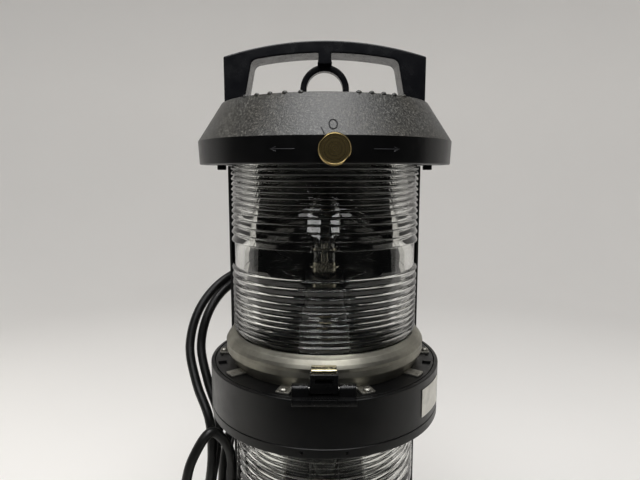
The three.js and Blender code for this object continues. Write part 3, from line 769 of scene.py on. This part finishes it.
def lens(deck, base):
    low_reach = LENS_CENTRE - (LENS_BOTTOM + 6)
    high_reach = LENS_TOP - 1 - LENS_CENTRE
    lower = [(r, LENS_CENTRE - d, f) for r, d, f in reversed(lens_half(low_reach))]
    upper = [(r, LENS_CENTRE + d, f) for r, d, f in lens_half(high_reach)]
    belt = [(LENS_BELT, LENS_CENTRE + h) for h in (-11.4, -6, 0, 6, 11.4)]
    corners = [
        (BORE_RADIUS, LENS_BOTTOM, 0.8), (SPIGOT_RADIUS, LENS_BOTTOM, 0.8), (SPIGOT_RADIUS, 30.3, 0.4),
        *lower, *belt, *upper, (ROOT_RADIUS, LENS_TOP, 0.8), (BORE_RADIUS, LENS_TOP, 0.8),
    ]
    glass = turned(f"{deck}_lens_glass", corners, 160, raised(base), sharp=50, steps=3)
    body = "upper_lens_unit" if deck == "upper" else "root"
    settle(glass, LENS_GLASS, "lens_glass", f"{deck}_lens", body=body)


def dish(deck, base):
    """Pressed ring that cups the lens, and the tabs round its foot."""
    place = raised(base)
    profile = [
        (93.4, 0.3), (94.4, 3.5, 2), (99.8, 12, 3.5), (99.3, 17.4, 1.5), (100, 20.4, 1.2), (98.4, 23.4, 1.8),
        (95.4, 27.2, 3), (90.4, 29.5, 1), (88.8, 29.5, 0.5), (88.8, 23, 0.5), (78, 23, 0.5), (78, 21.4),
        (95.9, 18, 2), (92.1, 4, 2), (92.1, 0.3),
    ]
    shell = turned(f"{deck}_dish_shell", profile, 144, place)
    settle(shell, STEEL_DISH, "steel", f"{deck}_dish")
    outline = [(-6.5, -93.2), (-6.3, -108.1, 1.2), (-1.5, -108.5, 0.6), (6.4, -107.9, 1.6), (6.5, -93.2)]
    tabs = [extruded(f"{deck}_tab", rounded(outline), 0.3, 1.8, 0.3, place @ turn_about_z(azimuth))
            for azimuth in TAB_AZIMUTHS]
    strip = merged(tabs[0], tabs[1:])
    strip.name = f"{deck}_dish_tabs"
    settle(strip, STEEL_SMALL, "steel")


def seal(name, radii, heights, rounding, node, body="root", place=None):
    """Flat rubber ring between two radii and two heights."""
    ring = turned(name, section(*radii, *heights, rounding), place=place)
    settle(ring, SEAL_RUBBER, "seal_rubber", node, body=body)


def rear_screen(deck, base):
    """Black sheet behind the lens, with hemmed upright edges and a rolled bead near its top and foot."""
    INNER, OUTER = 109.6, SCREEN_OUTER
    EDGE = 112.5  # azimuth of its right edge
    FOOT = 0.3
    HEM = 1.6  # degrees
    place = raised(base)
    sheet = OUTER - 1.6
    profile = [
        (INNER + 0.2, FOOT), (sheet, FOOT), (sheet, 8.5, 0.8), (OUTER - 0.2, 12, 1), (sheet, 15.5, 0.8),
        (sheet, SCREEN_TOP - 15.5, 0.8), (OUTER - 0.2, SCREEN_TOP - 12, 1), (sheet, SCREEN_TOP - 8.5, 0.8),
        (sheet, SCREEN_TOP, 0.4), (INNER + 0.2, SCREEN_TOP, 0.4),
    ]
    screen = turned(f"{deck}_screen_sheet", profile, 96, place, between=(EDGE + 1.2, 360 - EDGE - 1.2))
    hem = [(INNER, FOOT, 0.5), (OUTER, FOOT, 0.5), (OUTER, SCREEN_TOP, 0.9), (INNER, SCREEN_TOP, 0.9)]
    starts = (EDGE, 360 - EDGE - HEM)
    merged(screen, [turned(f"{deck}_hem", hem, 2, place, between=(start, start + HEM)) for start in starts])
    settle(screen, SCREEN_BLACK, "screen_black", f"{deck}_rear_screen")


def lamp(deck, base):
    """Pedestal, socket and bulb; heights are from the deck's top plate."""
    place = raised(base)
    bulb = f"{deck}_bulb"

    def lamp_part(name, profile, segments, steps=4):
        return turned(f"{deck}_{name}", profile, segments, place, steps=steps)

    pedestal = lamp_part("pedestal_column", [
        (10, 0.3), (34, 0.3, 0.6), (34, 4, 1.5), (27, 8, 4), (24, 56, 3), (26, 62, 0.8), (10, 62, 0.6),
    ], 72)
    moulded(pedestal, f"{deck}_lamp_pedestal")
    socket = lamp_part("socket_body", [
        (8, 62.3), (22, 62.3, 0.6), (22, 70, 1.2), (19, 74, 1.5), (19, 79, 0.4), (18.4, 80, 0.4),
        (19, 81, 0.4), (19, 86, 0.8), (13.4, 86, 0.5), (13.4, 77, 0.5), (8, 77),
    ], 72)
    moulded(socket, f"{deck}_lamp_socket")
    cap = lamp_part("bulb_base", [
        (0, 77.5), (5, 77.5, 1.5), (6, 80, 0.6), (12.6, 81, 0.8), (12.6, 92, 0.3), (16, 92, 0.3),
        (16, 93.5, 0.3), (12.6, 93.5, 0.3), (12.6, 97, 0.5), (4, 97, 0.4), (3.4, 101), (0, 101),
    ], 64)
    settle(cap, NICKEL, "brass", f"{deck}_bulb_cap", body=bulb)
    envelope = lamp_part("bulb_envelope", [
        (12.2, 97.3), (12.6, 101, 3), (19.5, 112, 9), (18, 126, 8), (8.5, 135, 6), (0, 137), (0, 136.2),
        (8.2, 134.2, 5.5), (17.3, 125.6, 7.5), (18.8, 112, 8.5), (11.9, 101.2, 3), (11.5, 97.3),
    ], 72, steps=6)
    settle(envelope, BULB_GLASS, "bulb_glass", f"{deck}_bulb_glass", body=bulb)
    filament(deck, place, bulb)


def wire(name, points, radius, sides=8):
    """A round bar along points, as a closed mesh."""
    shape = bmesh.new()
    rows = []
    for i, point in enumerate(points):
        ahead = (points[min(i + 1, len(points) - 1)] - points[max(i - 1, 0)]).normalized()
        facing = ahead.to_track_quat("Z", "Y").to_matrix()
        angles = [2 * pi * k / sides for k in range(sides)]
        ring = [Vector((cos(a), sin(a), 0)) * radius for a in angles]
        rows.append([shape.verts.new(point + facing @ corner) for corner in ring])
    for row, after in zip(rows, rows[1:]):
        for k in range(sides):
            shape.faces.new([row[k], row[(k + 1) % sides], after[(k + 1) % sides], after[k]])
    shape.faces.new(rows[0])
    shape.faces.new(rows[-1])
    return piece_from(name, shape)


def filament(deck, place, bulb):
    """A coiled wire between two supports that stand in the glass bridge."""
    TURNS, PER_TURN = 11, 10
    HALF = 5.6  # half of the coil's length
    COIL_RADIUS = 0.9
    BRIDGE_HEIGHT = 104

    def bar(name, ends, radius, *sides):
        return wire(name, [place @ Vector((x, COIL_RADIUS, z)) for x, z in ends], radius, *sides)

    coil = []
    for i in range(TURNS * PER_TURN + 1):
        angle = 2 * pi * i / PER_TURN
        x = -HALF + 2 * HALF * i / (TURNS * PER_TURN)
        y, z = COIL_RADIUS * cos(angle), COIL_RADIUS * sin(angle)
        coil.append(place @ Vector((x, y, LIGHT_CENTRE + z)))
    thread = wire(f"{deck}_filament_coil", coil, 0.25, 6)
    supports = [bar("support", [(x, 98), (x, 106), (x, LIGHT_CENTRE)], 0.45) for x in (-HALF, HALF)]
    bridge = bar("bridge", [(-6.4, BRIDGE_HEIGHT), (6.4, BRIDGE_HEIGHT)], 0.8, 12)
    merged(thread, [*supports, bridge])
    settle(thread, TUNGSTEN, "tungsten", f"{deck}_filament", body=bulb)


def screw_head(name, place):
    """Pan head with a cross recess."""
    RADIUS, TOP = 3.6, 2.4
    long, short = RADIUS * 0.52, 0.5  # half sizes of the recess's arms
    profile = [(0, 0), (RADIUS, 0, 0.2), (RADIUS, TOP * 0.55, 0.6), (RADIUS * 0.62, TOP, 0.6), (0, TOP)]
    head = turned(name, profile, 32, place)
    arms = [block("arm", (-a, a), (-b, b), (TOP - 1.1, TOP + 1), 0.1, place)
            for a, b in ((long, short), (short, long))]
    return cut(head, arms)


def tab_screws(deck, base):
    for number, azimuth in enumerate(SCREWED_AZIMUTHS, 1):
        place = raised(base) @ turn_about_z(azimuth) @ Matrix.Translation((0, -TAB_SCREW_RADIUS, 2.1))
        turned_as_left = turn_about_z(37 * number)
        head = screw_head(f"{deck}_screw_head_{number}", place @ turned_as_left)
        settle(head, STEEL_SMALL, "steel", f"{deck}_tab_screw_{number}")


def latch(deck, base):
    """Bracket with a ribbed plate between two lugs, and on its pin a lever with a window and a hook."""
    place = Matrix.Translation((LATCH_X, 0, base))
    lever_body = f"{deck}_latch"
    PLATE_HALF, HOOK_HALF = 27, 10.5
    FRONT, BACK = -117.8, -103.1
    FOOT = 0.3

    def bar(name, half, radius, *middle):
        return wire(name, [place @ Vector((x, *LATCH_PIVOT)) for x in (-half, *middle, half)], radius, 24)

    plate = block(f"{deck}_latch_plate", (-PLATE_HALF, PLATE_HALF), (FRONT, BACK), (FOOT, 2), 0.5, place)
    lip = block("lip", (-PLATE_HALF, PLATE_HALF), (FRONT, -115.9), (-3.5, 1.7), 0.5, place)
    lug = rounded([(-112, FOOT), (BACK, FOOT), (BACK, 11.5, 3), (-112, 11.5, 3.5)], steps=5)
    lugs = [extruded("lug", lug, low, high, 0.6, place @ FACING_SIDE)
            for low, high in ((-PLATE_HALF, -12.7), (12.7, PLATE_HALF))]
    ribs = [block("rib", (x, x + 1.4), (-117.1, -112.4), (1.5, 3.1), 0.3, place)
            for x in (-11.8 + 2.4 * k for k in range(10))]
    combined(plate, [lip, *lugs, *ribs])
    settle(plate, LATCH_BLACK, "housing_black", f"{deck}_latch_bracket")
    pin = bar(f"{deck}_latch_axle", PLATE_HALF + 0.4, 1.6, 0)
    settle(pin, STEEL_PLAIN, "steel", f"{deck}_latch_pin")
    lever = block(f"{deck}_latch_handle", (-12, 12), (-111, -103.2), (4.4, 21), 0.9, place, 3)
    window = block("window", (-7.6, 7.6), (-112.5, -101.5), (13, 17.2), 0.5, place)
    cut(lever, [window, bar("bore", 13, 1.9)])
    settle(lever, LATCH_BLACK, "housing_black", f"{deck}_latch_lever", body=lever_body)
    side = rounded([
        (-110.3, 21.3, 0.4), (-110.3, 25, 2.2), (-98.8, 25, 1.4), (-98.8, 23.4, 0.4), (-99.9, 23.5, 0.6),
        (-108.7, 23.5, 1), (-108.7, 21.3, 0.4),
    ], steps=5)
    hook = extruded(f"{deck}_latch_catch", side, -HOOK_HALF, HOOK_HALF, 0.25, place @ FACING_SIDE)
    settle(hook, STEEL_HOOK, "steel", f"{deck}_latch_hook", body=lever_body)


def lamp_deck(deck, base):
    lens(deck, base)
    dish(deck, base)
    seal(f"{deck}_seat_seal", (BORE_RADIUS, 87), (23.3, 25), 0.5, f"{deck}_seat_gasket", place=raised(base))
    rear_screen(deck, base)
    lamp(deck, base)
    tab_screws(deck, base)
    latch(deck, base)


for deck_name, deck_height in DECKS.items():
    lamp_deck(deck_name, deck_height)


# ------------ top ring, cap and handle

BAYONET_AZIMUTHS = (60, 180, -60)
CAP_FLOOR = 551
CAP_CEILING = 547.5
CAP_SHOULDER = 527
RIM_TOP_RADIUS = 99.9  # where the line of the cone meets the rim
CONE_OUT, CONE_UP = 0.844, 0.536  # direction straight out of the cone
RIB_RUNS = ((-11.5, -7.8), (15.5, 6.5))  # azimuth of a run's first rib on the cap's rim, and its step
RIBS_PER_RUN = 5
RING_BOTTOM = 505.7  # the lugs under the ring reach lower
HANDLE_SCREW_X = 86.8
KNOB_AZIMUTH = 2.7
KNOB_PLACE = turn_about_z(KNOB_AZIMUTH) @ raised(KNOB_HEIGHT) @ FACING_FRONT


def top_ring():
    """Flange over the lens with a low wall, three bayonet tabs outside it and two lugs under it."""
    INNER, WALL, OUTER = 96, 109.3, 112.3
    floor = RING_BOTTOM + 3
    profile = [
        (INNER, RING_BOTTOM, 0.4), (OUTER, RING_BOTTOM, 0.6), (OUTER, RING_TOP, 0.6), (WALL, RING_TOP, 0.6),
        (WALL, floor, 0.8), (INNER, floor, 0.6),
    ]
    ring = turned("bayonet_ring", profile, 144)
    tab = [(110.5, 511.6), (116.5, 511.6, 0.5), (116.5, 514.6, 0.5), (110.5, 514.6)]
    additions = [turned("tab", tab, 14, between=(azimuth - 7, azimuth + 7)) for azimuth in BAYONET_AZIMUTHS]
    for azimuth in (90, -90):
        additions.append(block("under_lug", (-6, 6), (-105.5, -98.5), (501, 507), 0.8, turn_about_z(azimuth)))
    combined(ring, additions)
    moulded(ring, "top_ring")


def on_cone(azimuth, height, proud=0.0):
    """A point on the cap's cone at an azimuth and a height, moved out by a little."""
    share = (height - CAP_SHOULDER) / (CAP_TOP - 1.5 - CAP_SHOULDER)
    radius = CAP_RADIUS + (RIM_TOP_RADIUS - CAP_RADIUS) * share + CONE_OUT * proud
    angle = radians(azimuth)
    return Vector((radius * sin(angle), -radius * cos(angle), height + CONE_UP * proud))


def on_band(azimuth, height, proud=0.0):
    share = (height - CAP_BOTTOM) / (CAP_SHOULDER - CAP_BOTTOM)
    radius = CAP_RADIUS - 1 + share + proud
    angle = radians(azimuth)
    return Vector((radius * sin(angle), -radius * cos(angle), height))


def cap_marks():
    """Arrows beside the knob for turning the cap, and the open mark and its tick above it."""
    HEIGHT, THICKNESS = 516.8, 0.35
    HEAD_LENGTH, HEAD_RISE = 2.2, 1.7  # degrees and millimetres
    for side, name, near, far in ((-1, "left", -11.3, -20.7), (1, "right", 17.7, 28.2)):
        shaft = [on_band(near + (far - near) * k / 8, HEIGHT, 0.1) for k in range(9)]
        head = [on_band(far - side * HEAD_LENGTH * abs(turn), HEIGHT + HEAD_RISE * turn, 0.1)
                for turn in (1, 0, -1)]
        arrow = merged(wire(f"arrow_{name}", shaft, THICKNESS), [wire("head", head, THICKNESS)])
        # The arrows' light grey is painted highlight for engraved lines that catch the light.
        settle(arrow, MARK_GREY_PAINTED_HIGHLIGHT, "cap_grey", body="cap")
    turns = [2 * pi * k / 24 for k in range(25)]
    ring = [on_cone(KNOB_AZIMUTH + 1.55 * cos(a), 535.3 + 3.7 * sin(a), 0.05) for a in turns]
    tick = [on_cone(-1.8, 533, 0.05), on_cone(-0.6, 527.8, 0.05)]
    marks = merged(wire("open_mark", ring, 0.5), [wire("tick", tick, 0.4)])
    settle(marks, MARK_DARK, "cap_grey", body="cap")


def cap_shell():
    """Casting with a sunk floor, a grained cone, a smooth band under it and bayonet lugs inside the band."""
    RIM_INSIDE = 97
    profile = [
        (0, CAP_FLOOR), (RIM_INSIDE, CAP_FLOOR, 1.5), (RIM_INSIDE, CAP_TOP, 0.8), (99, CAP_TOP, 1.2),
        (CAP_RADIUS, CAP_SHOULDER, 0.9), (CAP_RADIUS - 1, CAP_BOTTOM, 1), (117.6, CAP_BOTTOM, 0.8),
        (118.2, 525, 2), (104.6, CAP_CEILING, 2), (0, CAP_CEILING),
    ]
    shell = turned("cap_casing", profile, 160)
    lug = [(113.6, 507.2, 0.4), (119.4, 507.2), (119.4, 511.2), (113.6, 511.2, 0.4)]
    lugs = [turned("lug", lug, 14, between=(azimuth + 13, azimuth + 27)) for azimuth in BAYONET_AZIMUTHS]
    combined(shell, lugs)
    places = [(HANDLE_SCREW_X, 0), (-HANDLE_SCREW_X, 0)]
    holes = [drill(3.5, CAP_CEILING - 2, CAP_FLOOR + 2, centre=place) for place in places]
    cut(shell, [*holes, drill(4.6, 112, 130, KNOB_PLACE)])
    shell.data.materials.append(CAP_GRAIN_AND_TOP_LIGHT)
    shell.data.materials.append(BAND_BLACK)
    # Faces on the cone take the grained material, whose light greys are painted top light; the band keeps the
    # plain black.
    for face in shell.data.polygons:
        centre = face.center / MM
        grained = centre.z > CAP_SHOULDER + 0.1 and Vector(centre[:2]).length > RIM_INSIDE - 1
        face.material_index = 0 if grained else 1
    even_normals(shell)
    settle(shell, CAP_GRAIN_AND_TOP_LIGHT, "cap_grey", "cap_shell", body="cap")


def cap_ribs():
    """Small rounded ribs across the cap's rim: a run on each side of its front and of its back."""
    ribs = []
    dome = [(0, 0), (1, 0), (1, 1, 0.95), (0, 1)]
    stretch = Matrix.Diagonal((2.5, 1.9, 2.1, 1))
    runs = [(start + half_turn, step) for start, step in RIB_RUNS for half_turn in (0, 180)]
    for start, step in runs:
        for k in range(RIBS_PER_RUN):
            place = turn_about_z(start + step * k) @ Matrix.Translation((0, -98.4, CAP_TOP - 0.6))
            ribs.append(turned("rib", dome, 20, place @ stretch, sharp=60, steps=6))
    strip = merged(ribs[0], ribs[1:])
    strip.name = "cap_rim_ribs"
    settle(strip, CAP_GRAIN_AND_TOP_LIGHT, "cap_grey", body="cap")


def inner_cover():
    """Disc with a turned-down edge, hung from the cap on three posts."""
    TOP, FOOT = 521, 512
    under = TOP - 2.2
    profile = [(0, under), (93.4, under, 0.6), (93.4, FOOT, 0.4), (95, FOOT, 0.4), (95, TOP, 1), (0, TOP)]
    cover = turned("cap_cover_disc", profile)
    posts = [extruded("post", circle((0, -70), 5, 24), TOP - 1, CAP_CEILING - GAP, 0.4, turn_about_z(azimuth))
             for azimuth in (0, 120, 240)]
    combined(cover, posts)
    moulded(cover, "cap_inner_cover", body="cap")


def handle():
    """Arched bow with rounded edges, a stem in its middle and the hoisting eye under it."""
    SHOULDER = 606
    INNER_TOP_X, INNER_FOOT_X, INNER_CORNER, INNER_APEX = 68.5, 78.6, 603, 609.5
    EYE_HEIGHT, EYE_OUTER, EYE_INNER, EYE_HALF = 577.5, 23.5, 17.5, 6

    def arch(half_width, low, high, x):
        """Height at x of the arc that rises from low at half_width to high in the middle."""
        rise = high - low
        radius = (half_width**2 + rise**2) / (2 * rise)
        return high - radius + sqrt(radius**2 - x**2)

    over = [(x, arch(HANDLE_HALF, SHOULDER, HANDLE_APEX, x)) for x in range(-88, 89, 8)]
    under = [(x, arch(INNER_TOP_X, INNER_CORNER, INNER_APEX, x)) for x in range(56, -57, -8)]
    outline = rounded([
        (-INNER_FOOT_X, HANDLE_FOOT), (-HANDLE_HALF, HANDLE_FOOT), (-HANDLE_HALF, SHOULDER, 1.6), *over,
        (HANDLE_HALF, SHOULDER, 1.6), (HANDLE_HALF, HANDLE_FOOT), (INNER_FOOT_X, HANDLE_FOOT),
        (INNER_TOP_X, INNER_CORNER, 7), *under, (-INNER_TOP_X, INNER_CORNER, 7),
    ], steps=6)
    half_depth = HANDLE_DEPTH / 2
    bow = extruded("carrying_bow", outline, -half_depth, half_depth, 1.3, FACING_FRONT, segments=3, angle=40)
    top, neck, foot = 612, EYE_HEIGHT + EYE_OUTER + 3, EYE_HEIGHT + EYE_OUTER - 1.5
    stem_outline = [(-6, top), (-6, neck), (-7, foot), (7, foot), (6, neck), (6, top)]
    stem = extruded("stem", stem_outline, -half_depth, half_depth, 0.8, FACING_FRONT)
    eye_profile = section(EYE_INNER, EYE_OUTER, -EYE_HALF, EYE_HALF, 1.2)
    eye = turned("eye", eye_profile, 72, raised(EYE_HEIGHT) @ FACING_FRONT)
    combined(bow, [stem, eye], sharp=40)
    even_normals(bow)
    settle(bow, HANDLE_BLACK, "handle_black", "handle", body="cap")


def handle_screws():
    top, head = 561, CAP_CEILING - GAP
    profile = [(0, head - 5.5), (5, head - 5.5, 0.5), (5, head), (3, head), (3, top, 0.4), (0, top)]
    for side, name in ((-1, "left"), (1, "right")):
        place = Matrix.Translation((side * HANDLE_SCREW_X, 0, 0))
        screw = turned(f"handle_bolt_{name}", profile, 32, place)
        settle(screw, STEEL_PLAIN, "steel", f"handle_screw_{name}", body="cap")


def knob():
    """Turned locking knob: rings on its face, a chamfered edge with a flat on each side, and its stem."""
    RADIUS, FACE, BACK = 12.2, 134.3, 123.4
    profile = [
        (0, 112.9), (3.2, 112.9), (4, 114), (4, BACK), (10.8, BACK, 0.6), (RADIUS, BACK + 1.4, 0.6),
        (RADIUS, BACK + 10, 0.5), (11.3, 134.6, 0.5), (10.6, FACE, 0.3), (0, FACE),
    ]
    head = turned("locking_knob", profile, 96)
    sides = ((11.3, 15), (-15, -11.7))
    cut(head, [block("flat", x, (-8, 8), (123, 136), 0.1, turn_about_z(-42)) for x in sides])
    even_normals(head)
    head.data.transform(Matrix.Scale(MM, 4) @ KNOB_PLACE @ Matrix.Scale(1 / MM, 4))
    settle(head, BRASS, "brass", "knob", body="knob")
    washer_profile = [(4.6, 121.6, 0.2), (9.5, 121.6, 0.3), (9.5, 123.1, 0.4), (4.6, 123.1, 0.2)]
    washer = turned("knob_disc", washer_profile, 64, KNOB_PLACE)
    settle(washer, BRASS, "brass", "knob_washer", body="knob_carrier")


top_ring()
cap_shell()
cap_ribs()
cap_marks()
inner_cover()
handle()
handle_screws()
knob()
seal("cap_seal_ring", (BORE_RADIUS, 89.5), (515.3, 518.5), 0.6, "cap_gasket", "cap_seal")
seal("lower_top_seal", (BORE_RADIUS, 87), (271.3, 274), 0.6, "lower_top_gasket")


# ------------ gland and terminals

GLAND_PLACE = raised(GLAND_HEIGHT) @ Matrix.Rotation(radians(-90), 4, "X")
GLAND_BORE = 5.6
GLAND_HEX = circle((0, 0), 14, 6)


def gland():
    """Shank through the boss with a hexagonal flange, a ribbed nut outside and a lock ring inside."""
    shank = [(GLAND_BORE, 102), (9.6, 102, 0.5), (9.6, 127.5, 0.5), (GLAND_BORE, 127.5)]
    body = turned("gland_shank", shank, 64, GLAND_PLACE)
    flange = extruded("flange", GLAND_HEX, 117.9, 121.5, 0.6, GLAND_PLACE)
    combined(body, [cut(flange, [drill(7, 117, 123, GLAND_PLACE, sides=36)])])
    moulded(body, "gland_body")
    nut = turned("gland_cap", [
        (9.9, 121.8), (13.5, 121.8, 0.6), (13.5, 130.5, 1.5), (11.5, 132.5, 1.2), (10.4, 136.5, 0.6),
        (9.4, 137.5, 0.4), (8.9, 140.5, 0.6), (8, 144.5, 0.8), (GLAND_BORE, 144.5, 0.4), (GLAND_BORE, 134.5),
        (8, 130.5), (9.9, 128),
    ], 64, GLAND_PLACE)
    grips = [block("grip", (13.1, 14), (-0.9, 0.9), (122.7, 130.1), 0.3, GLAND_PLACE @ turn_about_z(30 * k))
             for k in range(12)]
    combined(nut, grips)
    moulded(nut, "gland_nut")
    locknut = extruded("gland_lock_ring", GLAND_HEX, 102.8, 106.5, 0.6, GLAND_PLACE)
    cut(locknut, [drill(9.9, 101, 109, GLAND_PLACE, sides=36)])
    moulded(locknut, "gland_locknut")


gland()
dress("terminal_block", CERAMIC)


# ------------ studio


FLOOR_RADIUS = 1500
PAPER_FRONT = -420  # the paper on the table ends here; the floor goes on before it for the camera only
STEPS = 48


def pale(name, tint, glow):
    s = Surface(name, Roughness=0.9)
    s.vary("Base Color", s.noise(2.2, detail=2), (0.35, shaded(tint, 0.985)), (0.65, tint))
    s.shader.inputs["Emission Color"].default_value = (*tint, 1)
    s.shader.inputs["Emission Strength"].default_value = glow
    return s.material


def staged(name, shape, material):
    item = piece_from(name, shape, sharp=180)
    item.data.materials.append(material)
    return item


def camera_only(item):
    for ray in ("diffuse", "glossy", "transmission", "shadow"):
        setattr(item, f"visible_{ray}", False)


def sweep(name, start, end, material):
    """Floor that curves up into a wall, between two azimuths of the room."""
    CURVE, WALL_TOP = 900, 3200
    curve = [(x, y - 0.5) for x, y in arc((FLOOR_RADIUS, CURVE), CURVE, -90, 0, 16)]
    profile = [(0, -0.5), *curve, (FLOOR_RADIUS + CURVE, WALL_TOP)]
    shape = bmesh.new()
    angles = [radians(start + (end - start) * k / STEPS - 90) for k in range(STEPS + 1)]
    rows = [[shape.verts.new((r * cos(a), r * sin(a), h)) for a in angles] for r, h in profile]
    for row, upper in zip(rows, rows[1:]):
        for i in range(STEPS):
            shape.faces.new([row[i], row[i + 1], upper[i + 1], upper[i]])
    bmesh.ops.remove_doubles(shape, verts=shape.verts, dist=0.01)
    return staged(name, shape, material)


def floor_part(name, near, far, material):
    """The part of the round floor between two distances from front to back, in millimetres."""
    depths = [near + (far - near) * k / STEPS for k in range(STEPS + 1)]
    right = [(sqrt(max(FLOOR_RADIUS**2 - depth**2, 0)), depth) for depth in depths]
    left = [(-half, depth) for half, depth in reversed(right) if half > 1]
    shape = bmesh.new()
    shape.faces.new([shape.verts.new((x, y, -0.6)) for x, y in [*right, *left]])
    return staged(name, shape, material)


def soft_light(name, place, size, power, target=(0, 0, 0.4), tint=(1, 1, 1), reflected=True):
    data = bpy.data.lights.new(name, "AREA")
    data.shape = "RECTANGLE"
    data.size, data.size_y = size
    data.energy = power
    data.color = tint
    item = bpy.data.objects.new(name, data)
    item.location = place
    item.rotation_euler = (Vector(target) - Vector(place)).to_track_quat("-Z", "Y").to_euler()
    item.visible_glossy = reflected
    item.visible_transmission = reflected
    scene.collection.objects.link(item)


def studio():
    paper = pale("paper", (0.80, 0.785, 0.765), 0.125)
    sweep("backdrop", 95, 265, paper)
    camera_only(sweep("front_backdrop", -95, 95, paper))
    floor_paper = pale("floor_paper", (0.61, 0.60, 0.57), 0.05)
    floor_part("floor", PAPER_FRONT, FLOOR_RADIUS, floor_paper)
    camera_only(floor_part("front_floor", -FLOOR_RADIUS, PAPER_FRONT, floor_paper))
    world = bpy.data.worlds.new("room")
    world.use_nodes = True
    background = world.node_tree.nodes["Background"]
    background.inputs["Color"].default_value = (0.95, 0.97, 1.0, 1)
    background.inputs["Strength"].default_value = 0.02
    scene.world = world
    scene.view_settings.view_transform = "Standard"
    soft_light("overhead", (0, -0.40, 1.9), (1.3, 0.8), 23)
    soft_light("front_strip", (0, -1.15, 1.75), (1.7, 0.22), 3)
    soft_light("left_fill", (-1.5, -0.15, 0.75), (0.9, 1.2), 13, tint=(1.0, 0.97, 0.92), reflected=False)
    soft_light("right_fill", (1.5, -0.05, 0.75), (0.9, 1.2), 5, tint=(1.0, 0.98, 0.94), reflected=False)
    soft_light("window_left", (-0.27, -1.1, 1.25), (0.34, 0.36), 2.0, (0, -0.09, 0.45))
    soft_light("window_right", (0.25, -1.1, 1.25), (0.2, 0.36), 1.2, (0, -0.09, 0.45))


studio()
